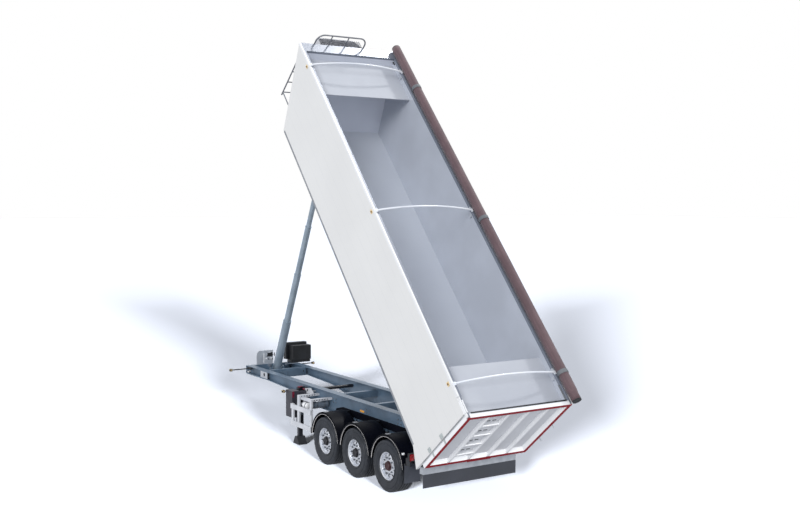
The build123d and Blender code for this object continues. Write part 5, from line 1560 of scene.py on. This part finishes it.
@dataclass
class AirPanel(ChassisGroup):
    """Black cover, small couplings, ridge and hose end on the air panel's rear face."""

    cover: Block = ((7.9575, -0.04, 1.672), (8.001, 0.135, 1.785))
    hose: Block = ((7.99, -0.104, 1.668), (7.99, -0.104, 1.767))
    link: Block = ((7.984, -0.1, 1.71), (7.996, -0.03, 1.725))
    pale_seats: tuple[Triple, ...] = ((8.0, 0.0, 1.62), (8.0, 0.14, 1.62))
    dark_seats: tuple[Triple, ...] = ((8.0, -0.035, 1.6), (8.0, 0.07, 1.6))
    ridge: Block = ((7.995, 0.211, 1.5), (7.995, 0.211, 1.76))

    def put_in(self) -> None:
        """Put in every piece."""
        hose = sweep(circle(0.011, 14), np.array(self.hose), FORWARD)
        cover = boxes([self.cover], 0.006) + hose + boxes([self.link], 0.002)
        self.fit("panel_cover", cover, SEAL_BLACK, "black_plastic")
        section = np.array([[0.017, -0.001], [0.017, 0.012], [0.012, 0.014], [0.012, 0.03], [0.009, 0.033]])
        one = lathe(section, ORIGIN, BACKWARD, ACROSS, 18)
        ridge = sweep(circle(0.009, 12), np.array(self.ridge), FORWARD)
        self.fit("panel_couplings", one.copied(self.pale_seats) + ridge, RAIL_WHITE, "bare_aluminium")
        self.fit("panel_dark_couplings", one.copied(self.dark_seats), SEAL_BLACK, "black_plastic")


@dataclass
class RamFoot(ChassisGroup):
    """Valve blocks and a pipe beside the ram's cradle."""

    valves: tuple[Block, ...] = (
        ((7.49, 0.205, 1.468), (7.57, 0.285, 1.548)), ((7.52, -0.275, 1.468), (7.585, -0.205, 1.53)),
        ((7.60, 0.21, 1.468), (7.66, 0.27, 1.515)),
    )
    pipe: tuple[Triple, ...] = (
        (7.53, -0.6, 1.5), (7.53, -0.42, 1.5), (7.54, -0.3, 1.505), (7.55, -0.24, 1.505),
    )
    pipe_radius: float = 0.011

    def put_in(self) -> None:
        """Put in the valves with their pipe."""
        pipe = sweep(circle(self.pipe_radius, 12), np.array(self.pipe), UP)
        self.fit("ram_valves", boxes(self.valves, 0.006) + pipe, SLATE_GREY, "chassis_paint")


@dataclass
class LegParts(ChassisGroup):
    """Plate ahead of the leg, its stand-offs and eye, couplings, the locker's panel and the gearbox."""

    plate: tuple[tuple[float, float], ...] = (
        (4.62, 1.335), (4.62, 1.379), (4.294, 1.429), (4.16, 1.33), (4.16, 1.315), (4.52, 1.262),
        (4.52, 1.333),
    )
    plate_y: tuple[float, float] = (0.717, 0.725)
    stand_offs: tuple[Block, ...] = (
        ((4.25, 0.62, 1.36), (4.25, 0.718, 1.36)), ((4.48, 0.62, 1.30), (4.48, 0.718, 1.30)),
    )
    eye: Triple = (4.47, 0.725, 1.35)
    eye_radius: float = 0.03
    coupling: Block = ((4.69, 0.735, 1.379), (4.81, 0.83, 1.415))
    knob: Triple = (4.645, 0.75, 1.36)
    locker_panel: Block = ((4.504, 1.06, 1.2), (4.512, 1.119, 1.345))
    gearbox: tuple[Block, ...] = (
        ((4.565, 0.79, 0.74), (4.64, 0.9, 0.85)), ((4.63, 0.76, 0.765), (4.69, 0.86, 0.83)),
    )

    def put_in(self) -> None:
        """Put in every piece."""
        stays = rods(*zip(*self.stand_offs), circle(0.012, 12), FORWARD)
        self.fit("leg_plate", slab(self.plate, *self.plate_y) + stays, GUARD_METAL, "bare_aluminium")
        # Black disc: painted shade in the plate's hole.
        self.fit("leg_plate_eye", discs([self.eye], ACROSS, UP, self.eye_radius), SEAL_BLACK, "black_plastic")
        section = np.array([[0.018, 0.0], [0.022, 0.005], [0.022, 0.05], [0.016, 0.056]])
        knob = lathe(section, self.knob, BACKWARD, ACROSS, 20)
        self.fit("leg_couplings", boxes([self.coupling], 0.008) + knob, COUPLING_RED, "lamp_red")
        self.fit("locker_panel", boxes([self.locker_panel]), COUPLING_RED, "lamp_red")
        self.fit("leg_gearbox", boxes(self.gearbox, 0.01), SLATE_GREY, "chassis_paint")


@dataclass
class GuardParts(ChassisGroup):
    """Plates that link the side guard's arms, and black discs of painted shade for the holes along the arms.
    """

    links: tuple[Block, ...] = (
        ((3.51, 1.0, 1.262), (4.055, 1.128, 1.28)), ((3.51, 1.118, 1.235), (4.055, 1.128, 1.264)),
    )
    arm_xs: tuple[float, ...] = (4.05, 3.425)
    hole_span: tuple[float, float, float] = (0.75, 1.1, 0.07)
    hole_z: float = 1.305
    hole_radius: float = 0.012

    def put_in(self) -> None:
        """Put in the plates and the holes."""
        self.fit("guard_links", mirrored(boxes(self.links)), GUARD_METAL, "bare_aluminium")
        # Black discs on the arms: painted shade in their holes.
        spots = [(x, y, self.hole_z) for x in self.arm_xs for y in np.arange(*self.hole_span)]
        holes = mirrored(discs(spots, BACKWARD, ACROSS, self.hole_radius, 0.001))
        self.fit("guard_holes", holes, SEAL_BLACK, "black_plastic")


@dataclass
class Tanks(ChassisGroup):
    """White reservoir under the link plate, and the slate air tanks behind it."""

    reservoir: Triple = (3.775, 1.06, 1.115)
    reservoir_radius: float = 0.075
    reservoir_straps: tuple[float, ...] = (3.83, 3.98)
    reservoir_hanger: Block = ((-0.012, 1.05, 1.19), (0.012, 1.07, 1.264))
    tank: Triple = (3.585, 0.66, 1.175)
    tank_radius: float = 0.095
    tank_straps: tuple[float, ...] = (0.78, 0.98)
    tank_hangers: tuple[Block, ...] = (
        ((3.57, -0.012, 1.268), (3.60, 0.012, 1.31)), ((3.51, -0.012, 1.296), (3.60, 0.012, 1.312)),
    )
    strap_half: float = 0.014
    strap_wall: float = 0.0038
    strap_gap: float = 0.0002

    def put_in(self) -> None:
        """Put in both kinds of tank with their straps."""
        section = np.array([
            [0.02, 0.0], [0.05, 0.006], [0.068, 0.02], [0.075, 0.04], [0.075, 0.225], [0.068, 0.245],
            [0.05, 0.259], [0.02, 0.265],
        ])
        reservoir = lathe(section, self.reservoir, FORWARD, ACROSS, 40)
        self.fit("reservoir", reservoir, RAIL_WHITE, "bare_aluminium")
        ring, (_, y, z) = self.ring(self.reservoir_radius), self.reservoir
        straps = joined([revolve(ring, (x, y, z), FORWARD, ACROSS, 40) for x in self.reservoir_straps])
        hangers = boxes([self.reservoir_hanger]).copied([(x, 0.0, 0.0) for x in self.reservoir_straps])
        self.fit("reservoir_straps", straps + hangers, STEEL, "bare_aluminium")
        section = np.array([
            [0.03, 0.0], [0.07, 0.008], [0.088, 0.022], [0.095, 0.045], [0.095, 0.385], [0.088, 0.41],
            [0.07, 0.424], [0.03, 0.432],
        ])
        tanks = mirrored(lathe(section, self.tank, ACROSS, UP, 40))
        self.fit("air_tanks", tanks, SLATE_GREY, "chassis_paint")
        ring, (x, _, z) = self.ring(self.tank_radius), self.tank
        straps = joined([revolve(ring, (x, y, z), ACROSS, UP, 40) for y in self.tank_straps])
        hangers = boxes(self.tank_hangers).copied([(0.0, y, 0.0) for y in self.tank_straps])
        self.fit("air_tank_straps", mirrored(straps + hangers), STEEL, "steel")

    def ring(self, radius: float) -> Array:
        """Section of a strap just outside a tank's radius."""
        return strap(radius + self.strap_gap, self.strap_wall, self.strap_half)


# ---------------------------------------------------------------- studio
@dataclass
class Studio:
    """Pale floor, soft light and the camera."""

    eye: Triple = (-20.3862, 12.3703, 5.9153)
    yaw: float = -0.571
    pitch: float = -0.0615
    roll: float = 0.004
    lens: float = 47.02
    film_width: float = 36.0
    clips: tuple[float, float] = (0.1, 2000.0)
    floor_half: float = 300.0
    floor_lines: int = 9
    floor_seen: Triple = (0.153, 0.157, 0.164)
    floor_thrown: Triple = (0.08, 0.08, 0.08)
    floor_suns: tuple[tuple[str, float, float], ...] = (
        ("floor_sun_left", -0.222, 45.0), ("floor_sun_right", -0.868, 51.0),
    )
    floor_sun_height: float = 12
    floor_sun_spread: float = 8.5
    floor_sun_colour: Triple = (0.955, 0.985, 1.06)
    inner_nodes: tuple[str, ...] = ("bed_floor", "bed_front", "bed_side_right", "bed_side_left")
    gate_pieces: tuple[str, ...] = ("gate_bevels", "gate_step_lips", "gate_rib_caps")
    fill_spread: float = 30
    sky_strength: float = 0.82
    sky_span: tuple[float, float] = (-0.2, 0.9)
    sky_low: Triple = (0.97, 1.0, 1.05)
    sky_high: Triple = (0.96, 0.98, 1.02)

    def build(self) -> None:
        """Set up the floor, the world, the suns and the camera."""
        scene = bpy.context.scene
        scene.view_settings.view_transform = "Standard"
        floor = self.floor()
        self.world(scene)
        rise = math.tan(math.radians(self.floor_sun_height))
        for name, yaw, energy in self.floor_suns:
            towards = (-math.cos(yaw), -math.sin(yaw), rise)
            made = self.sun(name, towards, energy, self.floor_sun_spread, [floor], "INCLUDE")
            made.data.color = self.floor_sun_colour
        self.sun("key_sun", (0.05, -0.55, 0.8), 1.0, 6, [floor], "EXCLUDE")
        self.sun("left_sun", (-0.6, 0.8, 0.35), 1.5, 20, [floor], "EXCLUDE")
        inner = [frame["nodes"][name] for name in self.inner_nodes]
        self.fill("inner_fill", (-0.92, 0.3, 0.1), 0.62, inner, floor)
        gate = [bpy.data.objects[name] for name in self.gate_pieces]
        self.fill("gate_fill", (-0.75, 0.1, 0.65), 1.6, gate, floor)
        self.camera(scene)

    def floor(self) -> bpy.types.Object:
        """Flat floor far wider than the part."""
        grid = np.linspace(-self.floor_half, self.floor_half, self.floor_lines)
        x, y = np.meshgrid(grid, grid, indexing="ij")
        points = np.stack([x, y, np.zeros_like(x)], axis=-1).reshape(-1, 3)
        mesh = bpy.data.meshes.new("studio_floor")
        quads = lattice(self.floor_lines, self.floor_lines, False, False)[:, ::-1]
        mesh.from_pydata(points.tolist(), [], quads.tolist())
        mesh.materials.append(self.paper())
        made = bpy.data.objects.new("studio_floor", mesh)
        bpy.context.scene.collection.objects.link(made)
        return made

    def paper(self) -> bpy.types.Material:
        """Matt floor that throws back less light on the part than it shows."""
        made = bpy.data.materials.new("floor_paper")
        made.use_nodes = True
        tree = made.node_tree
        tree.nodes.clear()
        out = tree.nodes.new("ShaderNodeOutputMaterial")
        path = tree.nodes.new("ShaderNodeLightPath")
        seen, thrown = tree.nodes.new("ShaderNodeBsdfDiffuse"), tree.nodes.new("ShaderNodeBsdfDiffuse")
        seen.inputs["Color"].default_value = (*self.floor_seen, 1.0)
        thrown.inputs["Color"].default_value = (*self.floor_thrown, 1.0)
        mix = tree.nodes.new("ShaderNodeMixShader")
        tree.links.new(path.outputs["Is Camera Ray"], mix.inputs["Fac"])
        tree.links.new(thrown.outputs[0], mix.inputs[1])
        tree.links.new(seen.outputs[0], mix.inputs[2])
        tree.links.new(mix.outputs[0], out.inputs["Surface"])
        return made

    def world(self, scene: bpy.types.Scene) -> None:
        """White to the camera, and an even soft light on the part."""
        world = bpy.data.worlds.new("studio_world")
        world.use_nodes = True
        tree = world.node_tree
        tree.nodes.clear()
        out = tree.nodes.new("ShaderNodeOutputWorld")
        path = tree.nodes.new("ShaderNodeLightPath")
        seen = tree.nodes.new("ShaderNodeBackground")
        seen.inputs["Color"].default_value = (1.0, 1.0, 1.0, 1.0)
        seen.inputs["Strength"].default_value = 1.0
        light = tree.nodes.new("ShaderNodeBackground")
        light.inputs["Strength"].default_value = self.sky_strength
        place = tree.nodes.new("ShaderNodeTexCoord")
        split = tree.nodes.new("ShaderNodeSeparateXYZ")
        ramp = tree.nodes.new("ShaderNodeMapRange")
        ramp.inputs["From Min"].default_value = self.sky_span[0]
        ramp.inputs["From Max"].default_value = self.sky_span[1]
        colours = tree.nodes.new("ShaderNodeMix")
        colours.data_type = "RGBA"
        colours.inputs["A"].default_value = (*self.sky_low, 1.0)
        colours.inputs["B"].default_value = (*self.sky_high, 1.0)
        mix = tree.nodes.new("ShaderNodeMixShader")
        tree.links.new(place.outputs["Generated"], split.inputs[0])
        tree.links.new(split.outputs["Z"], ramp.inputs["Value"])
        tree.links.new(ramp.outputs["Result"], colours.inputs["Factor"])
        tree.links.new(colours.outputs["Result"], light.inputs["Color"])
        tree.links.new(path.outputs["Is Camera Ray"], mix.inputs["Fac"])
        tree.links.new(light.outputs[0], mix.inputs[1])
        tree.links.new(seen.outputs[0], mix.inputs[2])
        tree.links.new(mix.outputs[0], out.inputs["Surface"])
        scene.world = world

    def fill(
        self, name: str, towards: Triple, energy: float, linked: Sequence[bpy.types.Object],
        floor: bpy.types.Object,
    ) -> None:
        """Add a broad light on some objects, which only the floor shades.

        Args:
            name: Lamp name.
            towards: Direction from the part to the light.
            energy: Strength.
            linked: Objects that it lights.
            floor: The studio's floor.
        """
        made = self.sun(name, towards, energy, self.fill_spread, linked, "INCLUDE")
        made.light_linking.blocker_collection = self.gather(f"{name}_blockers", [floor], "INCLUDE")

    @classmethod
    def sun(
        cls, name: str, towards: Triple, energy: float, spread: float,
        linked: Sequence[bpy.types.Object], state: str,
    ) -> bpy.types.Object:
        """Add a soft sun that lights only some objects, or all but some.

        Args:
            name: Lamp name.
            towards: Direction from the part to the sun.
            energy: Strength.
            spread: Angular width in degrees, which softens its shadows.
            linked: Objects that its link is about.
            state: INCLUDE for those alone, EXCLUDE for all but those.

        Returns:
            The new lamp.
        """
        data = bpy.data.lights.new(name, "SUN")
        data.energy = energy
        data.angle = math.radians(spread)
        made = bpy.data.objects.new(name, data)
        made.rotation_euler = Vector(towards).to_track_quat("Z", "Y").to_euler()
        bpy.context.scene.collection.objects.link(made)
        made.light_linking.receiver_collection = cls.gather(f"{name}_receivers", linked, state)
        return made

    @staticmethod
    def gather(name: str, linked: Sequence[bpy.types.Object], state: str) -> bpy.types.Collection:
        """Make a collection for a light's link, with one state for every object."""
        group = bpy.data.collections.new(name)
        for place, item in enumerate(linked):
            group.objects.link(item)
            group.collection_objects[place].light_linking.link_state = state
        return group

    def camera(self, scene: bpy.types.Scene) -> None:
        """Add the camera at its viewing angle."""
        cos_p, sin_p = math.cos(self.pitch), math.sin(self.pitch)
        ahead = Vector((cos_p * math.cos(self.yaw), cos_p * math.sin(self.yaw), sin_p))
        right = ahead.cross(Vector(UP)).normalized()
        up = right.cross(ahead)
        cos_r, sin_r = math.cos(self.roll), math.sin(self.roll)
        right, up = right * cos_r + up * sin_r, up * cos_r - right * sin_r
        data = bpy.data.cameras.new("studio_camera")
        data.lens, data.sensor_width = self.lens, self.film_width
        data.clip_start, data.clip_end = self.clips
        made = bpy.data.objects.new("studio_camera", data)
        made.matrix_world = Matrix((
            (right.x, up.x, -ahead.x, self.eye[0]), (right.y, up.y, -ahead.y, self.eye[1]),
            (right.z, up.z, -ahead.z, self.eye[2]), (0, 0, 0, 1),
        ))
        scene.collection.objects.link(made)
        scene.camera = made


def dress_frame() -> None:
    """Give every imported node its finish."""
    for name, node in frame["nodes"].items():
        finish = CAD_FINISHES[name]
        if not node.material_slots:
            node.data.materials.append(finish.material())
        for place in node.material_slots:
            place.material = finish.material()


def main() -> None:
    """Build the studio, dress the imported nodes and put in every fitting."""
    logging.basicConfig(level=logging.INFO, format="%(name)s: %(message)s")
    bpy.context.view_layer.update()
    dress_frame()
    for side, place in WHEELS:
        Wheel(side, place).put_in()
    Fenders().put_in()
    Gate().put_in()
    TarpRoll().put_in()
    BedTrim().put_in()
    for group in (Lamps(), Nose(), AirPanel(), RamFoot(), LegParts(), GuardParts(), Tanks()):
        group.put_in()
    Studio().build()


if __name__ == "__main__":
    main()
